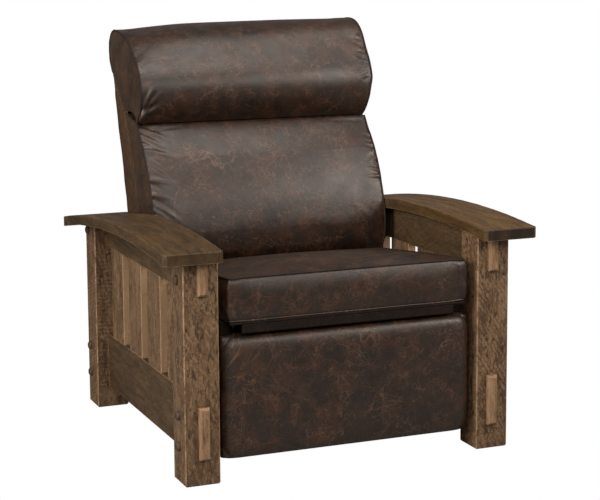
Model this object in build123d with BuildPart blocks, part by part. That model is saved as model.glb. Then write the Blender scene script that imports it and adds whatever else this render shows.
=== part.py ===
from build123d import *
from math import atan2, cos, degrees, radians, sin, sqrt
import os

os.makedirs("parts", exist_ok=True)

# Millimetres. X runs from the left arm to the right arm as seen from the front, -Y faces the
# person looking at the chair, +Z is up, and the origin is on the floor under the middle.

# Overall
overall_depth = 982
quarter_turn = 90
edge_crown_share = 0.1         # of a pad's crown, left at its ends
overrun = 4                    # how far a cut runs past the face that it opens
soft_clearance = 0.3           # room between a soft pad and what it lies on
running_clearance = 0.06       # radial room round a pivot pin
layer_gap = 1                  # room between two steel plates that pass each other
head_gap_share = 0.25          # of that room, left beside a rivet head
stud_share = 0.6               # of that room, filled by a plain stud

# Posts
seat_opening = 688             # between the left and the right posts
post_width = 88
post_depth = 88
post_gap = 680                 # between a front post and the rear post behind it
post_edge = 2.5                # worn long edges
foot_edge = 3

# Arms
arm_length = 922
arm_width = 147
arm_thickness = 27
arm_front_overhang = 41
arm_inner_lap = 1              # the arm reaches this far past the posts' inner faces
arm_crest_height = 585
arm_crest_setback = 312.6      # from the arm's front end back to its highest point
arm_radius = 3258
arm_corner = 8
arm_edge = 2.5

# Side rails and their through tenons
rail_thickness = 26
rail_setback = 34              # from a post's outer face in to the rail's outer face
rail_edge = 1.5
upper_rail_bottom = 456
lower_rail_bottom = 58
lower_rail_top = 208
upper_tenon_shoulder = 4
upper_tenon_headroom = 4       # under the arm
lower_tenon_bottom_shoulder = 6
lower_tenon_top_shoulder = 17
tenon_reach = 13               # what shows past the post
tenon_chamfer = 5

# Slats
slat_count = 4
slat_pitch = 163.5
slat_width = 108
slat_thickness = 23
slat_tongue = 10
slat_tongue_thickness = 10
slat_tongue_shoulder = 6
slat_edge = 1.5

# Pegs that lock the tenons
peg_radius = 6
peg_depth = 54
peg_head_radius = 11.5
peg_head_height = 9
peg_head_round = 7
upper_peg_rise = 38             # above the upper rail's underside
rear_peg_setback = 15           # behind the middle of the rear posts
lower_peg_rises = (32, 108)     # above the lower rail's underside

# Base under the seat
cleat_thickness = 22
cleat_bottom = 178
cleat_height = 62
crossbar_size = 24
crossbar_wall = 2
crossbar_round = 3
front_crossbar_setback = 178   # behind the front posts
rear_crossbar_setback = 156    # in front of the rear posts
stretcher_height = 108
stretcher_bottom = 92
stretcher_thickness = 26
stretcher_setback = 27         # behind the rear posts' front faces
track_width = 20
track_height = 26
track_wall = 3
track_slot = 8
track_length = 410
track_inset = 31               # from a post's inner face in to the track's outer side
track_front_setback = 152      # behind the front posts
shoe_length = 50
shoe_clearance = 0.3
shoe_places_shares = (0.25, 0.72)

# Seat frame
seat_rail_thickness = 22
seat_rail_bottom = 318
seat_rail_top = 380
seat_rail_front_setback = 74   # behind the front of the seat
seat_rail_back_gap = 46        # ahead of the back's pivot
seat_cross_height = 46
seat_cross_drop = 4            # below the tops of the side rails
front_cross_setback = 106
rear_cross_inset = 2           # ahead of the side rails' rear ends
deck_thickness = 6
seat_board_setback = 8
seat_board_length = 92
apron_width = 524
apron_thickness = 12
apron_height = 22
seat_spring_count = 5
seat_spring_spacing = 112
spring_wire = 3.6
spring_loop_pitch = 26
spring_loop_width = 46
seat_spring_loops = 16
spring_bend_share = 0.48       # of the loop pitch

# Seat cushion
seat_cushion_width = 634
seat_cushion_front_setback = 6  # behind the posts' front faces
seat_cushion_length = 508
seat_cushion_edge_height = 109
seat_cushion_side_drop = 3      # how far the side faces draw in
seat_cushion_crown = 21
seat_cushion_fall = 54           # its top, from front to back
seat_front_belly = 3
seat_cushion_shoulder = 30

# Footrest
pad_width = 652
pad_height = 292
pad_bottom = 62
pad_front_setback = 10          # behind the posts' front faces
pad_thickness = 34
pad_shoulder = 26
pad_side_drop = 4
pad_bulge = 2
pad_round = 12
board_thickness = 12
board_margin = 8
bracket_reach = 27              # from the board back past the pivots
bracket_length = 130
bracket_flange_width = 30

# Footrest linkage: places are measured from the middle of the pad's front face
plate_thickness = 3
plate_ear = 11
plate_corner = 5
link_width = 20
pin_radius = 4
pin_head_radius = 7
pin_head_height = 2
tube_radius = 9
tube_place = 88                 # along the rear link from its ground pivot
rear_link_pivot = (160, 92)     # back and up
rear_link_length = 225.4
rear_link_closed = 254.3        # degrees, 0 is forward and 90 is up
rear_link_swing = 105.7         # degrees
front_link_open = 22             # degrees
pad_pivot = (60, 25)
control_pivot_drop = 70
idler_place = 110               # along the front link from its lower pivot
idler_offset = 139.6
idler_extension = 62

# Back: "along" is measured up the back from its pivot, "ahead" from its rear face forward
back_lean = 17.8
back_pivot_setback = 616        # behind the posts' front faces
back_pivot_height = 330
back_pivot_ahead = 89.5
back_width = 666
back_bottom = 92
shell_wall = 4
shell_low_depth = 112
shell_middle_along = 334.5
shell_middle_depth = 105.4
shell_upper_rise = 97           # each rise is from the point below it
shell_upper_depth = 94.6
shell_shoulder_rise = 91.1
shell_shoulder_depth = 72.4
shell_top_rise = 127.4
shell_top_depth = 4
stile_thickness = 22
stile_low_depth = 86
stile_top_rise = 37.4           # above the shell's shoulder
stile_top_depth = 34
stile_knee_drop = 1.5           # below the shell's upper point
back_rail_thickness = 22
back_rail_width = 60
back_rail_ahead = 58
middle_rail_drop = 15           # from the stiles' knee down to the middle rail's lower edge
top_rail_ahead = 8
top_rail_width = 40
back_bracket_width = 40
back_bracket_along = 236
back_spring_count = 4
back_spring_spacing = 124
back_spring_loops = 12

# Back cushion and headrest, side outlines on the back's own lines
cushion_bottom_along = 60
cushion_low_ahead = 204
cushion_middle_along = 235
cushion_middle_ahead = 227
cushion_upper_along = 420
cushion_upper_ahead = 190
crease_along = 461
crease_ahead = 182
cushion_crown = 12
cushion_shoulder = 40
cushion_side_drop = 4
head_front_along = 548
head_front_ahead = 247
head_brow_along = 637
head_brow_ahead = 211
head_rise_along = 705
head_rise_ahead = 148
head_top_along = 757
head_top_ahead = 62
head_rear_along = 744
head_rear_ahead = 0.9
head_nape_along = 688
head_nape_ahead = -16.5
head_crown = 12
head_rise_share = 0.7           # of the crown, on the slope between brow and top

# Places worked out from the sizes above
arm_front = -overall_depth / 2
arm_back = arm_front + arm_length
post_front = arm_front + arm_front_overhang
front_post_back = post_front + post_depth
rear_post_front = front_post_back + post_gap
rear_post_back = rear_post_front + post_depth
post_inner = seat_opening / 2
post_outer = post_inner + post_width
arm_inner = post_inner - arm_inner_lap
rail_outer = post_outer - rail_setback
rail_inner = rail_outer - rail_thickness
rail_middle = (rail_outer + rail_inner) / 2
arm_crest = arm_front + arm_crest_setback
arm_centre_height = arm_crest_height - arm_radius
post_rows = (("front", post_front), ("rear", rear_post_front))
sides = ((-1, "left"), (1, "right"))


def arm_line(y, below):
    """Height of the arm's curve at y, a given depth below its top."""
    return arm_centre_height + sqrt((arm_radius - below) ** 2 - (y - arm_crest) ** 2)


def arm_arc(start, end, below):
    """The same curve as an arc from one y to another."""
    middle = (start + end) / 2
    stops = [(y, arm_line(y, below)) for y in (start, middle, end)]
    return ThreePointArc(*stops)


def save(piece, label):
    piece.part.label = label
    export_step(piece.part, "parts/" + label + ".step")


def upper_tenon(row):
    """Bottom and top of the upper tenon in a post row."""
    tip = post_front - tenon_reach if row == "front" else rear_post_back + tenon_reach
    return upper_rail_bottom + upper_tenon_shoulder, arm_line(tip, arm_thickness) - upper_tenon_headroom


def lower_tenon():
    return lower_rail_bottom + lower_tenon_bottom_shoulder, lower_rail_top - lower_tenon_top_shoulder


def tenon_spans(row):
    return upper_tenon(row), lower_tenon()


def peg_places():
    """Middle of each peg as y and z, three in each post."""
    heights = [lower_rail_bottom + rise for rise in lower_peg_rises]
    heights.append(upper_rail_bottom + upper_peg_rise)
    front = post_front + post_depth / 2
    rear = rear_post_front + post_depth / 2 + rear_peg_setback
    return [(y, z) for y in (front, rear) for z in heights]


def peg_plane(side, y, z):
    return Plane(origin=(side * post_outer, y, z), x_dir=(0, 1, 0), z_dir=(side, 0, 0))


def peg_hole(side, y, z):
    """Round profile of a peg's hole, on the post's outer face."""
    with BuildSketch(peg_plane(side, y, z)) as profile:
        Circle(peg_radius)
    return profile.sketch


# Posts
for side, side_name in sides:
    for row, start in post_rows:
        with BuildPart() as post:
            with BuildSketch(Plane.YZ.offset(side * post_inner)):
                with BuildLine():
                    Polyline(
                        (start + post_depth, arm_line(start + post_depth, arm_thickness)),
                        (start + post_depth, 0),
                        (start, 0),
                        (start, arm_line(start, arm_thickness)),
                    )
                    arm_arc(start, start + post_depth, arm_thickness)
                make_face()
            extrude(amount=side * post_width)
            chamfer(post.edges().filter_by(Axis.Z), post_edge)
            chamfer(post.faces().sort_by(Axis.Z)[0].edges(), foot_edge)
            for low, high in tenon_spans(row):
                with Locations((side * rail_middle, start + post_depth / 2, (low + high) / 2)):
                    Box(rail_thickness, post_depth + 2 * overrun, high - low, mode=Mode.SUBTRACT)
            for y, z in peg_places():
                if start < y < start + post_depth:
                    extrude(peg_hole(side, y, z), amount=-peg_depth, mode=Mode.SUBTRACT)
        save(post, row + "_post_" + side_name)

# Arms
for side, side_name in sides:
    with BuildPart() as arm:
        with BuildSketch(Plane.YZ.offset(side * arm_inner)):
            with BuildLine():
                Line((arm_back, arm_line(arm_back, 0)), (arm_back, arm_line(arm_back, arm_thickness)))
                arm_arc(arm_back, arm_front, arm_thickness)
                Line((arm_front, arm_line(arm_front, arm_thickness)), (arm_front, arm_line(arm_front, 0)))
                arm_arc(arm_front, arm_back, 0)
            make_face()
        extrude(amount=side * arm_width)
        chamfer(arm.edges().filter_by(Axis.Z), arm_corner)
        top_face = arm.faces().filter_by(GeomType.CYLINDER).sort_by(Axis.Z)[-1]
        fillet(top_face.edges(), arm_edge)
    save(arm, "arm_" + side_name)


def tenon(side, row, low, high):
    """A tenon from a rail's end through its post, with a chamfered tip."""
    length = post_depth + tenon_reach
    middle = post_front - tenon_reach + length / 2 if row == "front" else rear_post_front + length / 2
    with BuildPart() as tongue:
        with Locations((side * rail_middle, middle, (low + high) / 2)):
            Box(rail_thickness, length, high - low)
        tip = tongue.faces().sort_by(Axis.Y)[0 if row == "front" else -1]
        chamfer(tip.edges(), tenon_chamfer)
    return tongue.part


slat_places = [
    (front_post_back + rear_post_front) / 2 + (number - (slat_count - 1) / 2) * slat_pitch
    for number in range(slat_count)
]
slat_tongue_width = slat_width - 2 * slat_tongue_shoulder

# Upper side rails, with the arm's curve along the top
for side, side_name in sides:
    with BuildPart() as upper_rail:
        with BuildSketch(Plane.YZ.offset(side * rail_inner)):
            with BuildLine():
                Polyline(
                    (rear_post_front, arm_line(rear_post_front, arm_thickness)),
                    (rear_post_front, upper_rail_bottom),
                    (front_post_back, upper_rail_bottom),
                    (front_post_back, arm_line(front_post_back, arm_thickness)),
                )
                arm_arc(front_post_back, rear_post_front, arm_thickness)
            make_face()
        extrude(amount=side * rail_thickness)
        chamfer(upper_rail.faces().sort_by(Axis.Z)[0].edges().filter_by(Axis.Y), rail_edge)
        for row, _ in post_rows:
            add(tenon(side, row, *upper_tenon(row)))
        with Locations(*[(side * rail_middle, y, upper_rail_bottom) for y in slat_places]):
            Box(slat_tongue_thickness, slat_tongue_width, 2 * slat_tongue, mode=Mode.SUBTRACT)
        for y, z in peg_places():
            extrude(peg_hole(side, y, z), amount=-peg_depth, mode=Mode.SUBTRACT)
    save(upper_rail, "upper_rail_" + side_name)

# Lower side rails
for side, side_name in sides:
    with BuildPart() as lower_rail:
        rail_height = lower_rail_top - lower_rail_bottom
        rail_places = (side * rail_middle, (front_post_back + rear_post_front) / 2)
        with Locations((*rail_places, lower_rail_bottom + rail_height / 2)):
            Box(rail_thickness, post_gap, rail_height)
        chamfer(lower_rail.edges().filter_by(Axis.Y), rail_edge)
        for row, _ in post_rows:
            add(tenon(side, row, *lower_tenon()))
        with Locations(*[(side * rail_middle, y, lower_rail_top) for y in slat_places]):
            Box(slat_tongue_thickness, slat_tongue_width, 2 * slat_tongue, mode=Mode.SUBTRACT)
        for y, z in peg_places():
            extrude(peg_hole(side, y, z), amount=-peg_depth, mode=Mode.SUBTRACT)
    save(lower_rail, "lower_rail_" + side_name)

# Slats
slat_length = upper_rail_bottom - lower_rail_top
slat_centre_height = (upper_rail_bottom + lower_rail_top) / 2
for side, side_name in sides:
    for number, y in enumerate(slat_places, 1):
        with BuildPart() as slat:
            with Locations((side * rail_middle, y, slat_centre_height)):
                Box(slat_thickness, slat_width, slat_length)
                chamfer(slat.edges().filter_by(Axis.Z), slat_edge)
                Box(slat_tongue_thickness, slat_tongue_width, slat_length + 2 * slat_tongue)
        save(slat, "side_slat_" + side_name + "_" + str(number))

# Pegs, with domed heads
for side, side_name in sides:
    with BuildPart() as pegs:
        for y, z in peg_places():
            extrude(peg_hole(side, y, z), amount=-peg_depth)
            with BuildSketch(peg_plane(side, y, z)):
                Circle(peg_head_radius)
            extrude(amount=peg_head_height)
        outer_rims = pegs.faces().filter_by(Axis.X).group_by(Axis.X)[0 if side < 0 else -1].edges()
        fillet(outer_rims, peg_head_round)
    save(pegs, "peg_pins_" + side_name)

# Base: cleats on the lower rails, steel crossbars, tracks and the rear stretcher
cleat_outer = rail_inner
cleat_inner = cleat_outer - cleat_thickness
cleat_top = cleat_bottom + cleat_height
for side, side_name in sides:
    with BuildPart() as cleat:
        cleat_x = side * (cleat_outer + cleat_inner) / 2
        with Locations((cleat_x, (front_post_back + rear_post_front) / 2, cleat_bottom + cleat_height / 2)):
            Box(cleat_thickness, post_gap, cleat_height)
        chamfer(cleat.edges().filter_by(Axis.Y), rail_edge)
    save(cleat, "base_cleat_" + side_name)

crossbar_rows = (
    ("front", front_post_back + front_crossbar_setback),
    ("rear", rear_post_front - rear_crossbar_setback),
)
for row, y in crossbar_rows:
    with BuildPart() as crossbar:
        with BuildSketch(Plane.YZ.offset(-cleat_outer)):
            with Locations((y, cleat_top + crossbar_size / 2)):
                RectangleRounded(crossbar_size, crossbar_size, crossbar_round)
                bore = crossbar_size - 2 * crossbar_wall
                RectangleRounded(bore, bore, crossbar_round - crossbar_wall, mode=Mode.SUBTRACT)
        extrude(amount=2 * cleat_outer)
    save(crossbar, "base_crossbar_" + row)

with BuildPart() as stretcher:
    stretcher_y = rear_post_front + stretcher_setback + stretcher_thickness / 2
    with Locations((0, stretcher_y, stretcher_bottom + stretcher_height / 2)):
        Box(seat_opening, stretcher_thickness, stretcher_height)
    chamfer(stretcher.edges().filter_by(Axis.X), rail_edge)
save(stretcher, "rear_stretcher")

track_bottom = cleat_top + crossbar_size
track_top = track_bottom + track_height
track_outer = post_inner - track_inset
track_middle = track_outer - track_width / 2
track_front = front_post_back + track_front_setback
for side, side_name in sides:
    with BuildPart() as track:
        with BuildSketch(Plane.XZ.offset(-track_front)):
            with Locations((side * track_middle, track_bottom + track_height / 2)):
                Rectangle(track_width, track_height)
                Rectangle(track_width - 2 * track_wall, track_height - 2 * track_wall, mode=Mode.SUBTRACT)
            with Locations((side * track_middle, track_top)):
                Rectangle(track_slot, 2 * track_wall + overrun, mode=Mode.SUBTRACT)
        extrude(amount=-track_length)
    save(track, "glide_track_" + side_name)

# Seat carriage: nylon shoes that run in the tracks
with BuildPart() as shoes:
    for side, _ in sides:
        for share in shoe_places_shares:
            shoe_y = track_front + share * (track_length - shoe_length) + shoe_length / 2
            foot_width = track_width - 2 * track_wall - 2 * shoe_clearance
            foot_height = track_height - 2 * track_wall - 2 * shoe_clearance
            foot_z = track_bottom + track_height / 2
            neck_bottom = foot_z
            neck_height = seat_rail_bottom - neck_bottom
            with Locations((side * track_middle, shoe_y, foot_z)):
                Box(foot_width, shoe_length, foot_height)
            with Locations((side * track_middle, shoe_y, neck_bottom + neck_height / 2)):
                Box(track_slot - 2 * shoe_clearance, shoe_length, neck_height)
save(shoes, "glide_shoes")

# Pivots of the footrest linkage, as y and z in the closed pose
pad_front = post_front + pad_front_setback
pad_middle_height = pad_bottom + pad_height / 2


def reach(start, length, angle):
    """The point at a length and an angle from start: 0 is forward, 90 is up."""
    return start[0] - length * cos(radians(angle)), start[1] + length * sin(radians(angle))


def bearing(start, end):
    """Angle from start to end: 0 is forward, 90 is up."""
    return degrees(atan2(end[1] - start[1], start[0] - end[0]))


def span(start, end):
    return sqrt((end[0] - start[0]) ** 2 + (end[1] - start[1]) ** 2)


rear_pivot = (pad_front + rear_link_pivot[0], pad_middle_height + rear_link_pivot[1])
knee = reach(rear_pivot, rear_link_length, rear_link_closed)
top_pad_pivot = (pad_front + pad_pivot[0], pad_middle_height + pad_pivot[1])
low_pad_pivot = (top_pad_pivot[0], top_pad_pivot[1] - control_pivot_drop)
front_link_closed = bearing(knee, top_pad_pivot)
idler_pin = reach(knee, idler_place, front_link_closed)
open_knee = reach(rear_pivot, rear_link_length, rear_link_closed + rear_link_swing)
open_idler_pin = reach(open_knee, idler_place, front_link_open)
idler_chord = span(idler_pin, open_idler_pin)
idler_middle = ((idler_pin[0] + open_idler_pin[0]) / 2, (idler_pin[1] + open_idler_pin[1]) / 2)
idler_pivot = (
    idler_middle[0] + idler_offset * (open_idler_pin[1] - idler_pin[1]) / idler_chord,
    idler_middle[1] + idler_offset * (idler_pin[0] - open_idler_pin[0]) / idler_chord,
)
idler_length = span(idler_pivot, idler_pin) + idler_extension
idler_end = reach(idler_pivot, idler_length, bearing(idler_pivot, idler_pin))
back_pivot = (post_front + back_pivot_setback, back_pivot_height)

# Steel layers outwards from the middle: pad bracket, front links, rear links, seat plate
seat_rail_outer = track_middle + track_width / 2 - layer_gap
seat_rail_inner = seat_rail_outer - seat_rail_thickness
plate_inner = seat_rail_inner - plate_thickness
rear_layer = plate_inner - layer_gap - plate_thickness
front_layer = rear_layer - layer_gap - plate_thickness
bracket_layer = front_layer - layer_gap - plate_thickness
plate_outer = plate_inner + plate_thickness
back_bracket_layer = plate_outer + layer_gap
stile_inner = back_bracket_layer + plate_thickness

# Seat side rails
seat_rail_height = seat_rail_top - seat_rail_bottom
seat_rail_middle = (seat_rail_outer + seat_rail_inner) / 2
seat_rail_front = post_front + seat_rail_front_setback
seat_rail_back = back_pivot[0] - seat_rail_back_gap
seat_rail_length = seat_rail_back - seat_rail_front
for side, side_name in sides:
    with BuildPart() as seat_rail:
        with Locations((
            side * seat_rail_middle,
            seat_rail_front + seat_rail_length / 2,
            seat_rail_bottom + seat_rail_height / 2,
        )):
            Box(seat_rail_thickness, seat_rail_length, seat_rail_height)
        chamfer(seat_rail.edges().filter_by(Axis.Y), rail_edge)
    save(seat_rail, "seat_rail_" + side_name)

# Seat cross rails, between the steel plates
seat_cross_top = seat_rail_top - seat_cross_drop
front_cross_place = post_front + front_cross_setback
rear_cross_place = seat_rail_back - rear_cross_inset - seat_rail_thickness
for row, place in (("front", front_cross_place), ("rear", rear_cross_place)):
    with BuildPart() as cross_rail:
        with Locations((
            0,
            place + seat_rail_thickness / 2,
            seat_cross_top - seat_cross_height / 2,
        )):
            Box(2 * plate_inner, seat_rail_thickness, seat_cross_height)
        chamfer(cross_rail.edges().filter_by(Axis.X), rail_edge)
    save(cross_rail, "seat_cross_rail_" + row)


def disc(side, centre, layer, radius):
    """A round profile at a pivot, on a steel layer's inner face."""
    with BuildSketch(Plane.YZ.offset(side * layer)) as profile:
        with Locations(centre):
            Circle(radius)
    return profile.sketch


# Steel seat plates, which carry the linkage and the back
plate_top = seat_rail_top - layer_gap
plate_low = seat_rail_bottom
for side, side_name in sides:
    with BuildPart() as plate:
        with BuildSketch(Plane.YZ.offset(side * plate_inner)) as outline:
            with BuildLine():
                Polyline(
                    (idler_pivot[0] - plate_ear, plate_top),
                    (idler_pivot[0] - plate_ear, idler_pivot[1] - plate_ear),
                    (idler_pivot[0] + plate_ear, idler_pivot[1] - plate_ear),
                    (rear_pivot[0] - plate_ear, rear_pivot[1] - plate_ear),
                    (rear_pivot[0] + plate_ear, rear_pivot[1] - plate_ear),
                    (rear_pivot[0] + plate_ear + plate_low - rear_pivot[1], plate_low),
                    (back_pivot[0] + plate_ear, plate_low),
                    (back_pivot[0] + plate_ear, back_pivot[1] + plate_ear),
                    (back_pivot[0] - 2 * plate_ear, plate_top),
                    close=True,
                )
            make_face()
            fillet(outline.vertices(), plate_corner)
        extrude(amount=side * plate_thickness)
        for pivot in (idler_pivot, rear_pivot, back_pivot):
            hole = disc(side, pivot, plate_inner, pin_radius)
            extrude(hole, amount=side * plate_thickness, mode=Mode.SUBTRACT)
    save(plate, "seat_plate_" + side_name)


def shank(side, centre, inner, outer):
    """A pin between two distances from the middle of the chair."""
    extrude(disc(side, centre, inner, pin_radius), amount=side * (outer - inner))


def head(side, centre, start, end):
    """A rivet head from one distance to another."""
    extrude(disc(side, centre, start, pin_head_radius), amount=side * (end - start))


# Pins riveted into the seat plates
head_gap = layer_gap * head_gap_share
with BuildPart() as seat_pins:
    for side, _ in sides:
        for pivot in (idler_pivot, rear_pivot):
            inner_face = rear_layer - head_gap
            shank(side, pivot, inner_face, plate_outer)
            head(side, pivot, inner_face - pin_head_height, inner_face)
        outer_face = stile_inner + head_gap
        shank(side, back_pivot, plate_inner, outer_face)
        head(side, back_pivot, plate_inner - pin_head_height, plate_inner)
        head(side, back_pivot, outer_face, outer_face + pin_head_height)
save(seat_pins, "seat_pivot_pins")

# Seat board, apron, springs and deck
seat_board_front = post_front + seat_board_setback
board_top = seat_rail_top + deck_thickness
with BuildPart() as seat_board:
    with Locations((0, seat_board_front + seat_board_length / 2, seat_rail_top + deck_thickness / 2)):
        Box(2 * seat_rail_outer, seat_board_length, deck_thickness)
    chamfer(seat_board.faces().sort_by(Axis.Y)[0].edges().filter_by(Axis.X), rail_edge)
save(seat_board, "seat_front_board")

with BuildPart() as apron:
    with Locations((0, seat_board_front + apron_thickness / 2, seat_rail_top - apron_height / 2)):
        Box(apron_width, apron_thickness, apron_height)
    chamfer(apron.faces().sort_by(Axis.Z)[0].edges().filter_by(Axis.X), rail_edge)
save(apron, "seat_apron")


def zigzag(loops, pitch, width):
    """A flat wire line that runs to and fro across local Y, with rounded turns."""
    corners = [(0, -loops * pitch / 2 - pitch / 2), (0, -loops * pitch / 2)]
    for loop in range(loops):
        start = (loop - loops / 2) * pitch
        reach_out = width / 2 if loop % 2 else -width / 2
        corners += [(reach_out, start), (reach_out, start + pitch)]
    corners += [(0, loops * pitch / 2), (0, loops * pitch / 2 + pitch / 2)]
    with BuildLine() as line:
        FilletPolyline(*corners, radius=pitch * spring_bend_share)
    return line.line


def wire_spring(plane, loops):
    """A sinuous spring on a plane, lengthwise along the plane's Y."""
    path = plane * zigzag(loops, spring_loop_pitch, spring_loop_width)
    start = path @ 0
    with BuildSketch(Plane(origin=start, z_dir=path % 0)) as section:
        Circle(spring_wire / 2)
    return sweep(section.sketch, path=path, mode=Mode.PRIVATE)


spring_front = front_cross_place + seat_rail_thickness
spring_back = rear_cross_place
with BuildPart() as seat_springs:
    for number in range(seat_spring_count):
        spring_x = (number - (seat_spring_count - 1) / 2) * seat_spring_spacing
        spring_z = seat_cross_top + spring_wire / 2
        place = Plane(origin=(spring_x, (spring_front + spring_back) / 2, spring_z))
        add(wire_spring(place, seat_spring_loops))
save(seat_springs, "seat_springs")

with BuildPart() as deck:
    deck_front = seat_board_front + seat_board_length
    deck_length = seat_rail_back - deck_front
    with Locations((0, deck_front + deck_length / 2, seat_rail_top + deck_thickness / 2)):
        Box(2 * seat_rail_outer, deck_length, deck_thickness)
save(deck, "seat_deck")

# Seat cushion: crowned along both ways, with its sides drawn in
cushion_front = post_front + seat_cushion_front_setback
cushion_back = cushion_front + seat_cushion_length
cushion_bottom = board_top + soft_clearance


def seat_section(x, draw_in, crown):
    with BuildSketch(Plane.YZ.offset(x)) as section:
        with BuildLine():
            low = cushion_bottom + draw_in
            high = cushion_bottom + seat_cushion_edge_height - draw_in
            front = cushion_front + seat_front_belly + draw_in
            back = cushion_back - draw_in
            Line((front, low), (back, low))
            rear_high = high - seat_cushion_fall
            Line((back, low), (back, rear_high))
            ThreePointArc(
                (back, rear_high), ((front + back) / 2, (high + rear_high) / 2 + crown), (front, high),
            )
            ThreePointArc((front, high), (front - seat_front_belly, (low + high) / 2), (front, low))
        make_face()
    return section.sketch


def across(section, width, shoulder_width, draw_in, crown):
    """Sections of a pad from its left end to its right end, crowned towards the middle."""
    half = width / 2
    shoulder = half - shoulder_width
    places = (-half, -shoulder, -shoulder / 2, 0, shoulder / 2, shoulder, half)
    swell = [crown * (1 + edge_crown_share - (x / half) ** 2) for x in places]
    return [section(x, draw_in * (abs(x) == half), rise) for x, rise in zip(places, swell)]


with BuildPart() as seat_cushion:
    loft(across(
        seat_section, seat_cushion_width, seat_cushion_shoulder, seat_cushion_side_drop, seat_cushion_crown,
    ), ruled=True)
save(seat_cushion, "seat_cushion")


def link_profile(side, layer, start, end, holes):
    """A flat steel link between two pivots; holes pairs a place with a radius."""
    middle = ((start[0] + end[0]) / 2, (start[1] + end[1]) / 2)
    turn = degrees(atan2(end[1] - start[1], end[0] - start[0]))
    with BuildSketch(Plane.YZ.offset(side * layer)) as profile:
        with Locations(Location((*middle, 0), (0, 0, turn))):
            SlotCenterToCenter(span(start, end), link_width)
        for place, radius in holes:
            with Locations(place):
                Circle(radius, mode=Mode.SUBTRACT)
    return profile.sketch


pin_hole = pin_radius + running_clearance
stud_length = layer_gap * stud_share

# Rear links and the tube that keeps the two sides in step
with BuildPart() as rear_links:
    for side, _ in sides:
        holes = ((rear_pivot, pin_hole), (knee, pin_radius))
        extrude(link_profile(side, rear_layer, rear_pivot, knee, holes), amount=side * plate_thickness)
save(rear_links, "rear_links")

with BuildPart() as link_tube:
    with BuildSketch(Plane.YZ.offset(-rear_layer)):
        with Locations(reach(rear_pivot, tube_place, rear_link_closed)):
            Circle(tube_radius)
            Circle(tube_radius - crossbar_wall, mode=Mode.SUBTRACT)
    extrude(amount=2 * rear_layer)
save(link_tube, "linkage_tube")

with BuildPart() as knee_rivets:
    for side, _ in sides:
        rear_face = rear_layer + plate_thickness
        front_face = front_layer - head_gap
        shank(side, knee, front_face, rear_face)
        head(side, knee, rear_face, rear_face + pin_head_height)
        head(side, knee, front_face - pin_head_height, front_face)
save(knee_rivets, "knee_rivets")

# Front links, with the stud that meets the idler
with BuildPart() as front_links:
    for side, _ in sides:
        holes = ((knee, pin_hole), (top_pad_pivot, pin_hole))
        outer_face = front_layer + plate_thickness
        extrude(link_profile(side, front_layer, knee, top_pad_pivot, holes), amount=side * plate_thickness)
        extrude(disc(side, idler_pin, outer_face, pin_radius), amount=side * stud_length)
save(front_links, "front_links")

# Idler links
with BuildPart() as idler_links:
    for side, _ in sides:
        holes = ((idler_pivot, pin_hole), (idler_pin, pin_hole), (idler_end, pin_radius))
        extrude(link_profile(side, rear_layer, idler_pivot, idler_end, holes), amount=side * plate_thickness)
save(idler_links, "idler_links")

with BuildPart() as idler_rivets:
    for side, _ in sides:
        rear_face = rear_layer + plate_thickness
        front_face = front_layer - head_gap
        shank(side, idler_end, front_face, rear_face)
        head(side, idler_end, rear_face, rear_face + pin_head_height)
        head(side, idler_end, front_face - pin_head_height, front_face)
save(idler_rivets, "idler_rivets")

# Control links
with BuildPart() as control_links:
    for side, _ in sides:
        holes = ((idler_end, pin_hole), (low_pad_pivot, pin_hole))
        profile = link_profile(side, front_layer, idler_end, low_pad_pivot, holes)
        extrude(profile, amount=side * plate_thickness)
save(control_links, "control_links")

# Footrest: brackets, their rivets, board and pad
board_front = pad_front + pad_thickness
board_back = board_front + board_thickness
bracket_middle = (top_pad_pivot[1] + low_pad_pivot[1]) / 2
with BuildPart() as brackets:
    for side, _ in sides:
        with BuildSketch(Plane.YZ.offset(side * bracket_layer)):
            with Locations((board_back + bracket_reach / 2, bracket_middle)):
                Rectangle(bracket_reach, bracket_length)
            with Locations(top_pad_pivot):
                Circle(pin_radius, mode=Mode.SUBTRACT)
        extrude(amount=side * plate_thickness)
        flange_x = side * (bracket_layer + plate_thickness - bracket_flange_width / 2)
        with Locations((flange_x, board_back + plate_thickness / 2, bracket_middle)):
            Box(bracket_flange_width, plate_thickness, bracket_length)
        stud_face = bracket_layer + plate_thickness
        extrude(disc(side, low_pad_pivot, stud_face, pin_radius), amount=side * stud_length)
save(brackets, "footrest_brackets")

with BuildPart() as pad_rivets:
    for side, _ in sides:
        outer_face = front_layer + plate_thickness + head_gap
        shank(side, top_pad_pivot, bracket_layer, outer_face)
        head(side, top_pad_pivot, outer_face, outer_face + pin_head_height)
        head(side, top_pad_pivot, bracket_layer - pin_head_height, bracket_layer)
save(pad_rivets, "footrest_rivets")

with BuildPart() as footrest_board:
    with Locations((0, board_front + board_thickness / 2, pad_middle_height)):
        Box(pad_width - 2 * board_margin, board_thickness, pad_height - 2 * board_margin)
    chamfer(footrest_board.edges().filter_by(Axis.Y), rail_edge)
save(footrest_board, "footrest_board")


def pad_section(x, edge, bulge):
    """The pad cut across; edge is how far its outline draws in, bulge how far its face swells."""
    low = pad_bottom + edge
    high = pad_bottom + pad_height - edge
    face = pad_front + pad_bulge + edge
    back = board_front - soft_clearance
    with BuildSketch(Plane.YZ.offset(x)) as section:
        with BuildLine():
            Polyline((face + pad_round, high), (back, high), (back, low), (face + pad_round, low))
            JernArc((face + pad_round, low), (-1, 0), pad_round, -quarter_turn)
            ThreePointArc(
                (face, low + pad_round), (face - bulge, pad_middle_height), (face, high - pad_round),
            )
            JernArc((face, high - pad_round), (0, 1), pad_round, -quarter_turn)
        make_face()
    return section.sketch


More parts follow.
